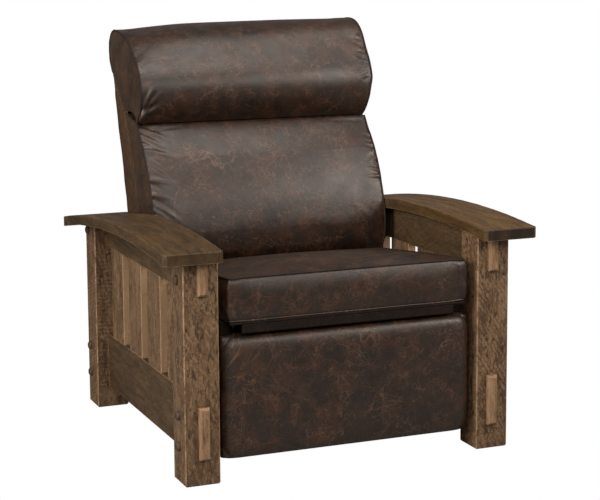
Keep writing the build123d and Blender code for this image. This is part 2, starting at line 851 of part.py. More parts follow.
with BuildPart() as pad:
    loft(across(pad_section, pad_width, pad_shoulder, pad_side_drop, pad_bulge), ruled=True)
save(pad, "footrest_pad")

# The back's own lines, leaned over its pivot
lean = radians(back_lean)
back_datum = (
    back_pivot[0] + back_pivot_ahead * cos(lean),
    back_pivot[1] - back_pivot_ahead * sin(lean),
)


def back_plane(x):
    """Sketch plane of the back: local X runs backward from its rear face, local Y up along it."""
    return Plane(origin=(x, *back_datum), x_dir=(0, cos(lean), -sin(lean)), z_dir=(1, 0, 0))


def back_slab(x, width, points):
    """A flat board on the back, from an outline of (ahead, along) points."""
    with BuildSketch(back_plane(x)) as outline:
        with BuildLine():
            Polyline(*[(-ahead, along) for ahead, along in points], close=True)
        make_face()
    extrude(outline.sketch, amount=width)


# Heights up the back
shell_upper_along = shell_middle_along + shell_upper_rise
shell_shoulder_along = shell_upper_along + shell_shoulder_rise
shell_top_along = shell_shoulder_along + shell_top_rise
stile_knee_along = shell_upper_along - stile_knee_drop
stile_top_along = shell_shoulder_along + stile_top_rise

# Back brackets
back_low = back_bottom + shell_wall
half_bracket = back_bracket_width / 2
with BuildPart() as back_brackets:
    for side, _ in sides:
        back_slab(side * back_bracket_layer, side * plate_thickness, (
            (back_pivot_ahead - half_bracket, -half_bracket),
            (back_pivot_ahead + half_bracket, -half_bracket),
            (back_pivot_ahead + half_bracket, half_bracket),
            (stile_low_depth, back_bracket_along),
            (stile_low_depth - back_bracket_width, back_bracket_along),
            (back_pivot_ahead - half_bracket, half_bracket),
        ))
        hole = disc(side, back_pivot, back_bracket_layer, pin_hole)
        extrude(hole, amount=side * plate_thickness, mode=Mode.SUBTRACT)
save(back_brackets, "back_brackets")

# Back stiles and cross rails
for side, side_name in sides:
    with BuildPart() as stile:
        back_slab(side * stile_inner, side * stile_thickness, (
            (shell_wall, back_low),
            (stile_low_depth, back_low),
            (stile_low_depth, stile_knee_along),
            (stile_top_depth, stile_top_along),
            (shell_wall, stile_top_along),
        ))
    save(stile, "back_stile_" + side_name)


def cross_rail_outline(ahead, along, width):
    return (
        (ahead, along),
        (ahead + back_rail_thickness, along),
        (ahead + back_rail_thickness, along + width),
        (ahead, along + width),
    )


with BuildPart() as back_rails:
    back_slab(-back_bracket_layer, 2 * back_bracket_layer, cross_rail_outline(
        back_rail_ahead, back_low, back_rail_width))
    back_slab(-stile_inner, 2 * stile_inner, cross_rail_outline(
        back_rail_ahead, stile_knee_along - middle_rail_drop, back_rail_width))
    back_slab(-stile_inner, 2 * stile_inner, cross_rail_outline(
        top_rail_ahead, stile_top_along - top_rail_width, top_rail_width))
save(back_rails, "back_cross_rails")

# Back springs, in front of the cross rails
spring_ahead = back_rail_ahead + back_rail_thickness + spring_wire / 2
middle_rail_along = stile_knee_along - middle_rail_drop + back_rail_width / 2
spring_along = (back_low + back_rail_width / 2 + middle_rail_along) / 2
with BuildPart() as back_springs:
    for number in range(back_spring_count):
        spring_x = (number - (back_spring_count - 1) / 2) * back_spring_spacing
        centre = back_plane(spring_x).from_local_coords((-spring_ahead, spring_along))
        up_the_back = Vector(0, sin(lean), cos(lean))
        place = Plane(origin=centre, x_dir=(1, 0, 0), z_dir=Vector(1, 0, 0).cross(up_the_back))
        add(wire_spring(place, back_spring_loops))
save(back_springs, "back_springs")

# Upholstered shell of the back: rear panel and side walls in one
half_back = back_width / 2
shell_outline = (
    (0, back_bottom),
    (shell_low_depth, back_bottom),
    (shell_middle_depth, shell_middle_along),
    (shell_upper_depth, shell_upper_along),
    (shell_shoulder_depth, shell_shoulder_along),
    (shell_top_depth, shell_top_along),
    (0, shell_top_along),
)
with BuildPart() as shell:
    back_slab(-half_back, back_width, shell_outline)
    with BuildSketch(back_plane(shell_wall - half_back)):
        with BuildLine():
            Polyline(
                (-shell_wall, back_bottom - overrun),
                (-shell_wall, shell_top_along + overrun),
                (-shell_low_depth - overrun, shell_top_along + overrun),
                (-shell_low_depth - overrun, back_bottom - overrun),
                close=True,
            )
        make_face()
    extrude(amount=back_width - 2 * shell_wall, mode=Mode.SUBTRACT)
save(shell, "back_shell")


def back_cushion_section(x, draw_in, crown):
    """The back cushion cut across, with its front arc swelled by crown."""
    back = soft_clearance
    top = (crease_ahead - draw_in, crease_along)
    upper = (cushion_upper_ahead - draw_in + crown / 2, cushion_upper_along)
    middle = (cushion_middle_ahead - draw_in + crown, cushion_middle_along)
    low = (cushion_low_ahead - draw_in, cushion_bottom_along)
    with BuildSketch(back_plane(x)) as section:
        with BuildLine():
            Polyline(*[(-ahead, along) for ahead, along in (
                top,
                (shell_shoulder_depth + back, shell_shoulder_along),
                (shell_upper_depth + back, shell_upper_along),
                (shell_middle_depth + back, shell_middle_along),
                (shell_low_depth + back, back_bottom),
                (shell_low_depth + back, cushion_bottom_along),
                low,
            )])
            ThreePointArc(*[(-ahead, along) for ahead, along in (low, middle, upper)])
            Line((-upper[0], upper[1]), (-top[0], top[1]))
        make_face()
    return section.sketch


def headrest_section(x, draw_in, crown):
    """The headrest cut across: a roll over the top of the back."""
    nose = (crease_ahead - draw_in, crease_along + soft_clearance)
    front = (head_front_ahead - draw_in + crown, head_front_along)
    brow = (head_brow_ahead - draw_in + crown, head_brow_along)
    swell = crown * head_rise_share
    rise = (head_rise_ahead - draw_in + swell, head_rise_along - draw_in + swell)
    top = (head_top_ahead, head_top_along - draw_in + crown)
    rear = (head_rear_ahead + draw_in, head_rear_along - draw_in + crown)
    nape = (head_nape_ahead + draw_in, head_nape_along)
    with BuildSketch(back_plane(x)) as section:
        with BuildLine():
            for stops in ((nose, front, brow), (brow, rise, top), (top, rear, nape)):
                ThreePointArc(*[(-ahead, along) for ahead, along in stops])
            Polyline(*[(-ahead, along) for ahead, along in (
                nape,
                (0, shell_top_along + soft_clearance),
                (shell_top_depth + soft_clearance, shell_top_along + soft_clearance),
                (shell_shoulder_depth + soft_clearance, shell_shoulder_along + soft_clearance),
                nose,
            )])
        make_face()
    return section.sketch


with BuildPart() as back_cushion:
    loft(across(
        back_cushion_section, back_width, cushion_shoulder, cushion_side_drop, cushion_crown,
    ), ruled=True)
save(back_cushion, "back_cushion")

with BuildPart() as headrest:
    loft(across(
        headrest_section, back_width, cushion_shoulder, cushion_side_drop, head_crown,
    ), ruled=True)
save(headrest, "headrest")
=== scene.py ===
import bpy
import bmesh
import math
import random
import numpy as np
from mathutils import Matrix, Vector, noise
from mathutils.bvhtree import BVHTree
from mathutils.kdtree import KDTree


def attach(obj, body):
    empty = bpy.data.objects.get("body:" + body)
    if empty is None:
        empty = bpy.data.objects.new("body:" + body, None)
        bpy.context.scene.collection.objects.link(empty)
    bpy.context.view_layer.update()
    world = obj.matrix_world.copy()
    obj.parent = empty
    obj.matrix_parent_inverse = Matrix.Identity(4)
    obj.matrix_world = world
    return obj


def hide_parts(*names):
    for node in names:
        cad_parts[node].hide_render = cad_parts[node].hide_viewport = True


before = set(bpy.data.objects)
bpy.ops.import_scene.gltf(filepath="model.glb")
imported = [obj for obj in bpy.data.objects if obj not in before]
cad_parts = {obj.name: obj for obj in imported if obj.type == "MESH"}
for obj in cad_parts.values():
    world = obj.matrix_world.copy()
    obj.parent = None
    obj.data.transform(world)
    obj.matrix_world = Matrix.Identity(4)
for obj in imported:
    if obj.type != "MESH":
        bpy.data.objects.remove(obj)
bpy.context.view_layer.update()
print("frame loaded:", len(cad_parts), "nodes")

# Camera, floor and light
viewPlan = {
    "place": (-1.627, -4.087, 1.260), "turn": -22.3, "rise": 8.17, "roll": -0.34,
    "lens": 100.3, "sensor": 36, "shiftDown": 0.1, "reach": 100,
    "floorSize": 40, "floorColour": (0.24, 0.235, 0.23, 1), "floorRough": 0.9, "floorGlow": (1, 1, 1, 1),
    "lampColour": (1, 0.935, 0.86), "sky": (1, 1, 1, 1), "skyLight": 0.18, "skySeen": 1.0,
}
lampPlan = {
    # name: place, target, width, height, power
    "leftBox": ((-3.3, -1.1, 1.8), (0, 0, 0.5), 1.4, 2.2, 122),
    "rightBox": ((2.5, -2.2, 2.4), (0, 0, 0.7), 0.9, 1.8, 66),
    "frontBox": ((-1.6, -3.4, 2.6), (0, 0, 0.6), 2.2, 1.8, 60),
    "sheenBox": ((1.0, -3.5, 2.5), (0, 0, 0.8), 2.4, 1.0, 30),
    "topBox": ((0.1, -0.6, 3.2), (0, 0, 0.5), 2.4, 1.6, 48),
}
scene = bpy.context.scene
scene.view_settings.view_transform = "Standard"


def makeCamera(plan):
    data = bpy.data.cameras.new("photoView")
    data.sensor_width = plan["sensor"]
    data.lens = plan["lens"]
    data.shift_y = -plan["shiftDown"]
    data.clip_end = plan["reach"]
    camera = bpy.data.objects.new("photoView", data)
    scene.collection.objects.link(camera)
    camera.matrix_world = (
        Matrix.Translation(plan["place"])
        @ Matrix.Rotation(math.radians(plan["turn"]), 4, "Z")
        @ Matrix.Rotation(math.radians(90 - plan["rise"]), 4, "X")
        @ Matrix.Rotation(math.radians(plan["roll"]), 4, "Z")
    )
    scene.camera = camera


def makeLamp(name, place, target, width, height, power):
    data = bpy.data.lights.new(name, "AREA")
    data.shape = "RECTANGLE"
    data.size = width
    data.size_y = height
    data.energy = power
    data.color = viewPlan["lampColour"]
    lamp = bpy.data.objects.new(name, data)
    scene.collection.objects.link(lamp)
    lamp.location = place
    lamp.rotation_euler = (Vector(target) - Vector(place)).to_track_quat("-Z", "Y").to_euler()


def smoothFaces(mesh, sharp=None):
    mesh.polygons.foreach_set("use_smooth", [True] * len(mesh.polygons))
    if sharp:
        mesh.set_sharp_from_angle(angle=math.radians(sharp))


def meshFrom(shape, name):
    mesh = bpy.data.meshes.new(name)
    shape.to_mesh(mesh)
    shape.free()
    return mesh


# Material helpers, which add their nodes to the tree on the bench
bench = {}


def startMaterial(name):
    material = bpy.data.materials.new(name)
    material.use_nodes = True
    bench["tree"] = material.node_tree
    bench["tree"].nodes.clear()
    shader = put("BsdfPrincipled")
    put("OutputMaterial", {0: shader.outputs[0]})
    return material, shader


def feed(socket, value):
    if isinstance(value, bpy.types.NodeSocket):
        bench["tree"].links.new(value, socket)
    else:
        socket.default_value = value


def put(kind, values=None, **settings):
    made = bench["tree"].nodes.new("ShaderNode" + kind)
    for key, value in settings.items():
        setattr(made, key, value)
    for key, value in (values or {}).items():
        feed(made.inputs[key], value)
    return made


def mapped(place, offset=(0, 0, 0), turn=(0, 0, 0), scale=(1, 1, 1)):
    turned = [math.radians(angle) for angle in turn]
    values = {"Vector": place, "Location": offset, "Rotation": turned, "Scale": scale}
    return put("Mapping", values).outputs[0]


def objectPlace(**change):
    return mapped(put("TexCoord").outputs["Object"], **change)


def depthOf():
    return put("SeparateXYZ", {0: put("TexCoord").outputs["Object"]}).outputs["Y"]


def cloud(place, scale, detail=4, rough=0.55, warp=0):
    values = {"Vector": place, "Scale": scale, "Detail": detail, "Roughness": rough, "Distortion": warp}
    return put("TexNoise", values).outputs["Fac"]


def rangeOf(value, low, high, start=0, end=1):
    values = {"Value": value, "From Min": low, "From Max": high, "To Min": start, "To Max": end}
    return put("MapRange", values).outputs[0]


def patches(place, noiseValues, limits):
    return rangeOf(cloud(place, *noiseValues), *limits)


def maths(operation, first, second=0.0, clamp=False):
    return put("Math", {0: first, 1: second}, operation=operation, use_clamp=clamp).outputs[0]


def times(first, second, clamp=False):
    return maths("MULTIPLY", first, second, clamp)


def blendColour(share, first, second):
    mixer = put("Mix", data_type="RGBA")
    for index, value in ((0, share), (6, first), (7, second)):
        feed(mixer.inputs[index], (*value, 1) if isinstance(value, tuple) else value)
    return mixer.outputs[2]


def thinLines(field, width):
    gap = maths("ABSOLUTE", maths("SUBTRACT", field, 0.5))
    return rangeOf(gap, 0, width, 1, 0)


def coat(shader, colour, dullness, gloss=0.5, metal=0):
    for name, value in (
        ("Base Color", colour), ("Roughness", dullness), ("Specular IOR Level", gloss), ("Metallic", metal),
    ):
        feed(shader.inputs[name], value)


def bumps(shader, layers):
    # layers: height socket, strength, distance in metres
    normal = None
    for height, strength, distance in layers:
        values = {"Height": height, "Strength": strength, "Distance": distance}
        if normal:
            values["Normal"] = normal
        normal = put("Bump", values).outputs[0]
    feed(shader.inputs["Normal"], normal)


# Leather: dark pull-up hide, wispy tan cracks, pebbled grain
leatherKeys = ("dark", "middle", "warm", "crack", "crackShare", "rough", "grain", "gloss", "crackle")
leatherPlan = {
    "hide": (
        (0.0088, 0.0040, 0.0022), (0.0225, 0.0112, 0.0062), (0.040, 0.0140, 0.0056), (0.130, 0.068, 0.039),
        0.58, (0.33, 0.47), 0.28, 0.52, ((19, 0.018, 12), (38, 0.03, 18)),
    ),
    "sideHide": (
        (0.021, 0.0118, 0.0062), (0.043, 0.0245, 0.0135), (0.060, 0.028, 0.0135), (0.14, 0.078, 0.045),
        0.4, (0.38, 0.52), 0.24, 0.35, ((24, 0.022, 11),),
    ),
    "shellHide": (
        (0.066, 0.039, 0.0225), (0.132, 0.081, 0.048), (0.155, 0.078, 0.039), (0.20, 0.11, 0.062),
        0.3, (0.42, 0.56), 0.22, 0.32, ((24, 0.022, 11),),
    ),
    "weltHide": (
        (0.012, 0.007, 0.006), (0.024, 0.014, 0.011), (0.026, 0.013, 0.009), (0.06, 0.035, 0.024),
        0.15, (0.6, 0.75), 0.12, 0.2, ((36, 0.03, 15),),
    ),
    # near-black hide: painted shade on the front board and apron in the band under the seat cushion
    "paintedShadeHide": (
        (0.004, 0.0022, 0.0016), (0.010, 0.0055, 0.0038), (0.013, 0.0058, 0.0034), (0.04, 0.022, 0.014),
        0.3, (0.6, 0.75), 0.12, 0.15, ((36, 0.03, 15),),
    ),
}
# noise: scale, detail, roughness, distortion; limits: from low, from high, to low, to high
hidePattern = {
    "warpNoise": {"Scale": 10, "Detail": 3}, "warpMiddle": (0.5, 0.5, 0.5), "warpReach": 0.06,
    "clouds": ((9, 5, 0.62, 0.6), (0.36, 0.64)), "warmth": ((19, 6, 0.7), (0.47, 0.66, 0, 0.85)),
    "flecks": ((70, 5, 0.7), (0.42, 0.66, 0, 0.5)),
    # cracks: scale, width, scale of the mask, limits of the mask
    "cracks": (
        (5, 0.0055, 8, (0.43, 0.56)), (11, 0.0075, 12, (0.44, 0.58)),
        (24, 0.011, 18, (0.46, 0.62)), (50, 0.016, 24, (0.48, 0.64)),
    ),
    "crackNoise": (5, 0.58, 0.8), "crackMask": (3, 0.6),
    "crackleMask": (5, 0.7), "crackleLimits": (0.47, 0.62, 0, 0.8),
    "dullness": (22, 4, 0.6), "dullLimits": (0.3, 0.7), "soft": (60, 4, 0.6), "pebbleScale": 520,
    # strength and distance, or distance alone where the finish gives the strength
    "softBump": (0.25, 0.0015), "pebbleBump": 0.0006, "crackBump": (-0.25, 0.0005),
}


def makeLeather(name, plan):
    material, shader = startMaterial(name)
    place = objectPlace()
    warpField = put("TexNoise", {"Vector": place, **plan["warpNoise"]}).outputs["Color"]
    warp = put("VectorMath", {0: warpField, 1: plan["warpMiddle"]}, operation="SUBTRACT")
    shifted = put("VectorMath", {0: warp.outputs[0], "Scale": plan["warpReach"]}, operation="SCALE")
    warped = put("VectorMath", {0: place, 1: shifted.outputs[0]}, operation="ADD").outputs[0]
    colour = blendColour(patches(place, *plan["clouds"]), plan["dark"], plan["middle"])
    colour = blendColour(patches(warped, *plan["warmth"]), colour, plan["warm"])
    colour = blendColour(patches(warped, *plan["flecks"]), colour, plan["dark"])
    # wandering cracks of several sizes, each broken up by its own mask
    lines = None
    for scale, width, maskScale, limits in plan["cracks"]:
        wander = thinLines(cloud(warped, scale, *plan["crackNoise"]), width)
        broken = times(wander, patches(place, (maskScale, *plan["crackMask"]), limits))
        lines = maths("MAXIMUM", lines, broken) if lines else broken
    for scale, width, maskScale in plan["crackle"]:
        cells = put("TexVoronoi", {"Vector": warped, "Scale": scale}, feature="DISTANCE_TO_EDGE")
        crackle = rangeOf(cells.outputs["Distance"], 0, width, 1, 0)
        crackMask = patches(place, (maskScale, *plan["crackleMask"]), plan["crackleLimits"])
        lines = maths("MAXIMUM", lines, times(crackle, crackMask))
    share = times(lines, plan["crackShare"], True)
    dullness = patches(place, plan["dullness"], (*plan["dullLimits"], *plan["rough"]))
    coat(shader, blendColour(share, colour, plan["crack"]), dullness, plan["gloss"])
    pebbleValues = {"Vector": warped, "Scale": plan["pebbleScale"]}
    pebble = put("TexVoronoi", pebbleValues, feature="SMOOTH_F1").outputs["Distance"]
    bumps(shader, (
        (cloud(place, *plan["soft"]), *plan["softBump"]),
        (pebble, plan["grain"], plan["pebbleBump"]), (lines, *plan["crackBump"]),
    ))
    return material


# Wood: rustic brown stain, streaked grain, saw marks, paler worn edges and tenon ends, and painted light that
# makes a slat's narrow faces paler
woodKeys = ("dark", "middle", "pale", "worn", "wear", "saw", "rough", "mottle", "paintedLightFlank", "chamfered")
woodPlan = {
    "post": (
        (0.040, 0.021, 0.0105), (0.105, 0.058, 0.029), (0.205, 0.125, 0.068), (0.38, 0.245, 0.14),
        0.62, 1.2, (0.5, 0.72), 1.0, 0, True,
    ),
    "arm": (
        (0.034, 0.0175, 0.0064), (0.081, 0.0435, 0.0150), (0.137, 0.077, 0.028), (0.30, 0.19, 0.10),
        0.75, 0.12, (0.40, 0.58), 0.7, 0, False,
    ),
    "armShaded": (
        (0.021, 0.0112, 0.0044), (0.051, 0.0285, 0.0105), (0.088, 0.050, 0.0195), (0.30, 0.19, 0.10),
        0.75, 0.2, (0.40, 0.58), 0.85, 0, False,
    ),
    "rail": (
        (0.027, 0.0150, 0.0064), (0.060, 0.0350, 0.0155), (0.115, 0.069, 0.032), (0.27, 0.17, 0.095),
        0.6, 0.5, (0.5, 0.7), 0.8, 0, True,
    ),
    "slat": (
        (0.042, 0.023, 0.0115), (0.115, 0.065, 0.033), (0.23, 0.142, 0.078), (0.38, 0.245, 0.14),
        0.7, 0.9, (0.5, 0.7), 1.0, 0.75, True,
    ),
    "peg": (
        (0.020, 0.012, 0.007), (0.050, 0.030, 0.017), (0.11, 0.070, 0.040), (0.16, 0.10, 0.06),
        0.4, 0.0, (0.5, 0.65), 0.6, 0, True,
    ),
    # inner: hidden frame wood of the seat and back, darkened to near black as painted shade so the slits
    # under the seat read black
    "inner": (
        (0.014, 0.009, 0.006), (0.032, 0.020, 0.012), (0.062, 0.040, 0.024), (0.10, 0.066, 0.04),
        0.2, 0.3, (0.6, 0.75), 0.4, 0, True,
    ),
}
# sawn ends: tenons that come through the posts, and the fronts of the arms
endPlan = {
    "tenonNodes": ("upper_rail", "lower_rail"),
    "tenonFront": -0.4505, "tenonBack": 0.4065, "tenonShare": 0.9,
    "tenonDark": (0.105, 0.056, 0.028), "tenonPale": (0.29, 0.175, 0.100),
    "tenonScale": (1, 1, 0.16), "tenonGrain": ((120, 6, 0.7, 0.3), (0.34, 0.58)),
    "armFront": -0.4895, "armColour": (0.013, 0.0072, 0.0042),
    "armShare": {"arm_left": 0.25, "arm_right": 0.97}, "checkScale": (1, 1, 0.12),
    "checks": ((75, 4, 0.7, 0.2), (0.42, 0.56, 0.82, 1)),
}
# noise: scale, detail, roughness, distortion; limits: from low, from high, to low, to high
grainPattern = {
    "spread": (-3, 3), "turns": {"x": (0, 90, 0), "y": (90, 0, 0), "z": (0, 0, 0)},
    "streakScale": (1, 1, 0.07), "streak": (85, 7, 0.68, 0.4), "streakShare": 0.80,
    "drawnScale": (1, 1, 0.25), "figureShare": 0.20,
    "figure": {"Scale": 9, "Distortion": 7, "Detail": 4, "Detail Scale": 1.6, "Detail Roughness": 0.62},
    "bodyLimits": (0.28, 0.62), "mottleNoise": (24, 7, 0.76, 0.6), "mottleLimits": (0.45, 0.66, 0),
    "poreScale": (1, 1, 0.11), "pores": ((330, 2, 0.5), (0.60, 0.72)), "poreShare": 0.7,
    "arcCentre": (0.35, 0.02, 0.2), "arcShare": 0.8,
    "arcs": {"Scale": 31, "Distortion": 5.5, "Detail": 4, "Detail Scale": 3.5, "Detail Roughness": 0.7},
    "sawPatch": ((9, 4, 0.65), (0.38, 0.55)), "sawFlick": ((62, 5, 0.72), (0.42, 0.58)),
    "fleckScale": (1, 1, 0.35), "flecks": (105, 5, 0.74, 0.8), "fleckLimits": (0.50, 0.62, 0),
    "fleckShare": 0.9, "glintPlace": (4, 7, 1), "glintScale": (1, 1, 0.4),
    "glints": (120, 5, 0.74, 0.8), "glintLimits": (0.54, 0.66, 0), "glintShare": 0.8,
    "edgeRadius": 0.0024, "edgeSamples": 6, "edgeLimits": (0.995, 0.86), "chamferLimits": (0.28, 0.44),
    "paintedLightFlankLimits": (0.5, 0.9, 0), "rub": ((30, 5, 0.7), (0.36, 0.58)),
    "roughLimits": (0.3, 0.7), "gloss": 0.27,
    # strength and distance of each bump
    "relief": (22, 4, 0.6), "reliefBump": (0.5, 0.002), "sawBump": (0.5, 0.01, 0.0012),
    "streakBump": (0.45, 0.0010), "poreBump": (-0.5, 0.0006),
}


def makeWood(nodeName, plan, grain, seed):
    material, shader = startMaterial(nodeName + "Wood")
    rng = random.Random(seed)
    offset = [rng.uniform(*plan["spread"]) for _ in range(3)]
    place = objectPlace(offset=offset, turn=plan["turns"][grain])
    drawn = mapped(place, scale=plan["drawnScale"])
    streak = cloud(mapped(place, scale=plan["streakScale"]), *plan["streak"])
    figureValues = {"Vector": drawn, **plan["figure"]}
    figure = put("TexWave", figureValues, wave_type="BANDS", bands_direction="X").outputs["Fac"]
    streakPart = times(streak, plan["streakShare"])
    figurePart = times(figure, plan["figureShare"])
    body = rangeOf(maths("ADD", streakPart, figurePart), *plan["bodyLimits"])
    colour = blendColour(body, plan["dark"], plan["middle"])
    mottle = patches(drawn, plan["mottleNoise"], (*plan["mottleLimits"], plan["mottle"]))
    colour = blendColour(mottle, colour, plan["pale"])
    # short open pores along the grain
    pores = patches(mapped(place, scale=plan["poreScale"]), *plan["pores"])
    colour = blendColour(times(pores, plan["poreShare"]), colour, plan["dark"])
    # saw arcs: wide rings round a far centre, kept in patches
    arcValues = {"Vector": mapped(place, offset=plan["arcCentre"]), **plan["arcs"]}
    arcs = put("TexWave", arcValues, wave_type="RINGS", rings_direction="SPHERICAL").outputs["Fac"]
    patch = patches(place, *plan["sawPatch"])
    flick = patches(place, *plan["sawFlick"])
    saw = times(times(arcs, patch), flick)
    trough = times(maths("SUBTRACT", 0.5, arcs), times(patch, flick))
    colour = blendColour(times(trough, plan["saw"], True), colour, plan["dark"])
    sawShare = times(times(saw, plan["saw"], True), plan["arcShare"])
    colour = blendColour(sawShare, colour, plan["pale"])
    fleckField = mapped(place, scale=plan["fleckScale"])
    fleckLimits = (*plan["fleckLimits"], plan["saw"] * plan["fleckShare"])
    colour = blendColour(patches(fleckField, plan["flecks"], fleckLimits), colour, plan["dark"])
    glintField = mapped(place, offset=plan["glintPlace"], scale=plan["glintScale"])
    glintLimits = (*plan["glintLimits"], plan["saw"] * plan["glintShare"])
    colour = blendColour(patches(glintField, plan["glints"], glintLimits), colour, plan["pale"])
    if nodeName.startswith(endPlan["tenonNodes"]):
        front = maths("LESS_THAN", depthOf(), endPlan["tenonFront"])
        back = maths("GREATER_THAN", depthOf(), endPlan["tenonBack"])
        ends = times(maths("MAXIMUM", front, back), endPlan["tenonShare"])
        endPlace = objectPlace(offset=offset, scale=endPlan["tenonScale"])
        endGrain = patches(endPlace, *endPlan["tenonGrain"])
        tenonColour = blendColour(endGrain, endPlan["tenonDark"], endPlan["tenonPale"])
        colour = blendColour(ends, colour, tenonColour)
    if nodeName in endPlan["armShare"]:
        # sawn end grain at an arm's front: darker, with upright checks
        atEnd = maths("LESS_THAN", depthOf(), endPlan["armFront"])
        checks = patches(objectPlace(offset=offset, scale=endPlan["checkScale"]), *endPlan["checks"])
        endShare = times(times(atEnd, checks), endPlan["armShare"][nodeName], True)
        colour = blendColour(endShare, colour, endPlan["armColour"])
    rounded = put("Bevel", {"Radius": plan["edgeRadius"]}, samples=plan["edgeSamples"]).outputs[0]
    trueNormal = put("NewGeometry").outputs["Normal"]
    facing = put("VectorMath", {0: rounded, 1: trueNormal}, operation="DOT_PRODUCT").outputs["Value"]
    edge = rangeOf(facing, *plan["edgeLimits"])
    leans = put("SeparateXYZ", {0: put("TexCoord").outputs["Normal"]}).outputs
    if plan["paintedLightFlank"]:
        # painted light: a slat's narrow faces are painted paler, where they would lie in shade between the
        # slats
        paintedLightFlank = rangeOf(maths("ABSOLUTE", leans[1]), *plan["paintedLightFlankLimits"], plan["paintedLightFlank"])
        colour = blendColour(paintedLightFlank, colour, plan["worn"])
    if plan["chamfered"]:
        # a chamfer is a face that leans towards two of the piece's own axes at once
        for first, second in ((0, 1), (0, 2), (1, 2)):
            both = maths("ABSOLUTE", times(leans[first], leans[second]))
            edge = maths("MAXIMUM", edge, rangeOf(both, *plan["chamferLimits"]))
    wear = times(times(edge, patches(place, *plan["rub"])), plan["wear"], True)
    low, high = plan["rough"]
    dullness = rangeOf(streak, *plan["roughLimits"], high, low)
    coat(shader, blendColour(wear, colour, plan["worn"]), dullness, plan["gloss"])
    sawGain, sawLeast, sawDistance = plan["sawBump"]
    bumps(shader, (
        (cloud(drawn, *plan["relief"]), *plan["reliefBump"]),
        (saw, sawGain * plan["saw"] + sawLeast, sawDistance),
        (streak, *plan["streakBump"]), (pores, *plan["poreBump"]),
    ))
    return material


makeCamera(viewPlan)
floorShape = bmesh.new()
bmesh.ops.create_grid(floorShape, x_segments=1, y_segments=1, size=viewPlan["floorSize"] / 2)
floorData = meshFrom(floorShape, "studioFloor")
floor = bpy.data.objects.new("studioFloor", floorData)
scene.collection.objects.link(floor)
floorMaterial, floorShader = startMaterial("studioFloor")
coat(floorShader, viewPlan["floorColour"], viewPlan["floorRough"])
# the paper is overexposed where it is seen, and only a pale grey in what it lights
glow = put("Emission", {"Color": viewPlan["floorGlow"]})
seen = put("LightPath").outputs["Is Camera Ray"]
paper = put("MixShader", {0: seen, 1: floorShader.outputs[0], 2: glow.outputs[0]})
feed(floorMaterial.node_tree.nodes["Material Output"].inputs[0], paper.outputs[0])
floorData.materials.append(floorMaterial)
for lampName, lampValues in lampPlan.items():
    makeLamp(lampName, *lampValues)
world = bpy.data.worlds.new("studioSky")
world.use_nodes = True
bench["tree"] = world.node_tree
sky = world.node_tree.nodes["Background"]
feed(sky.inputs[0], viewPlan["sky"])
skySeen = put("LightPath").outputs["Is Camera Ray"]
feed(sky.inputs[1], rangeOf(skySeen, 0, 1, viewPlan["skyLight"], viewPlan["skySeen"]))
scene.world = world
print("camera, floor and light made")

# Plain finishes of the hidden frame
smoothPlan = {
    "blackSteel": {"colour": (0.016, 0.016, 0.017), "metal": 0.3, "rough": (0.34, 0.5)},
    "zincSteel": {"colour": (0.55, 0.55, 0.56), "metal": 1, "rough": (0.26, 0.42)},
    "springSteel": {"colour": (0.22, 0.22, 0.23), "metal": 1, "rough": (0.3, 0.48)},
    "nylon": {"colour": (0.72, 0.71, 0.67), "metal": 0, "rough": (0.4, 0.5)},
}
dustPattern = {
    "dust": ((35, 5, 0.65), (0.4, 0.75, 0, 0.35)), "gain": 0.6, "lift": 0.06,
    "dullness": (90, 3), "dullLimits": (0.3, 0.7), "relief": (900, 2), "bump": (0.08, 0.0003),
}
deckPlan = {
    "thread": 160, "dark": (0.01, 0.01, 0.01), "pale": (0.04, 0.038, 0.036), "rough": 0.9,
    "bump": (0.4, 0.0008),
}


def makeSmooth(name, plan):
    material, shader = startMaterial(name)
    place = objectPlace()
    dust = patches(place, *dustPattern["dust"])
    paler = tuple(dustPattern["gain"] * channel + dustPattern["lift"] for channel in plan["colour"])
    dullness = patches(place, dustPattern["dullness"], (*dustPattern["dullLimits"], *plan["rough"]))
    coat(shader, blendColour(dust, plan["colour"], paler), dullness, metal=plan["metal"])
    bumps(shader, ((cloud(place, *dustPattern["relief"]), *dustPattern["bump"]),))
    return material


def makeDeckCloth(name):
    material, shader = startMaterial(name)
    values = {"Vector": objectPlace(), "Scale": deckPlan["thread"]}
    warp, weft = (put("TexWave", values, bands_direction=way).outputs["Fac"] for way in ("X", "Y"))
    weave = times(warp, weft)
    coat(shader, blendColour(weave, deckPlan["dark"], deckPlan["pale"]), deckPlan["rough"])
    bumps(shader, ((weave, *deckPlan["bump"]),))
    return material


hides = {
    name: makeLeather(name, {**hidePattern, **dict(zip(leatherKeys, row))})
    for name, row in leatherPlan.items()
}
smooth = {name: makeSmooth(name, plan) for name, plan in smoothPlan.items()}
deckCloth = makeDeckCloth("deckCloth")
# starts of node names, wood finish, grain axis
woodRules = (
    (("front_post", "rear_post"), "post", "z"), ("arm_left", "armShaded", "y"), ("arm_right", "arm", "y"),
    (("upper_rail", "lower_rail"), "rail", "y"), ("side_slat", "slat", "z"), ("peg_pins", "peg", "x"),
    ("rear_stretcher", "rail", "x"), (("base_cleat", "seat_rail"), "inner", "y"),
    (("seat_cross_rail", "back_cross_rails"), "inner", "x"), ("back_stile", "inner", "z"),
)
smoothRules = {
    "blackSteel": (
        "base_crossbar", "glide_track", "seat_plate", "rear_links", "front_links", "idler_links",
        "control_links", "linkage_tube", "footrest_brackets", "back_brackets",
    ),
    "zincSteel": ("seat_pivot_pins", "knee_rivets", "idler_rivets", "footrest_rivets"),
    "springSteel": ("seat_springs", "back_springs"), "nylon": ("glide_shoes",),
}


def dress(piece, material):
    piece.data.materials.clear()
    piece.data.materials.append(material)


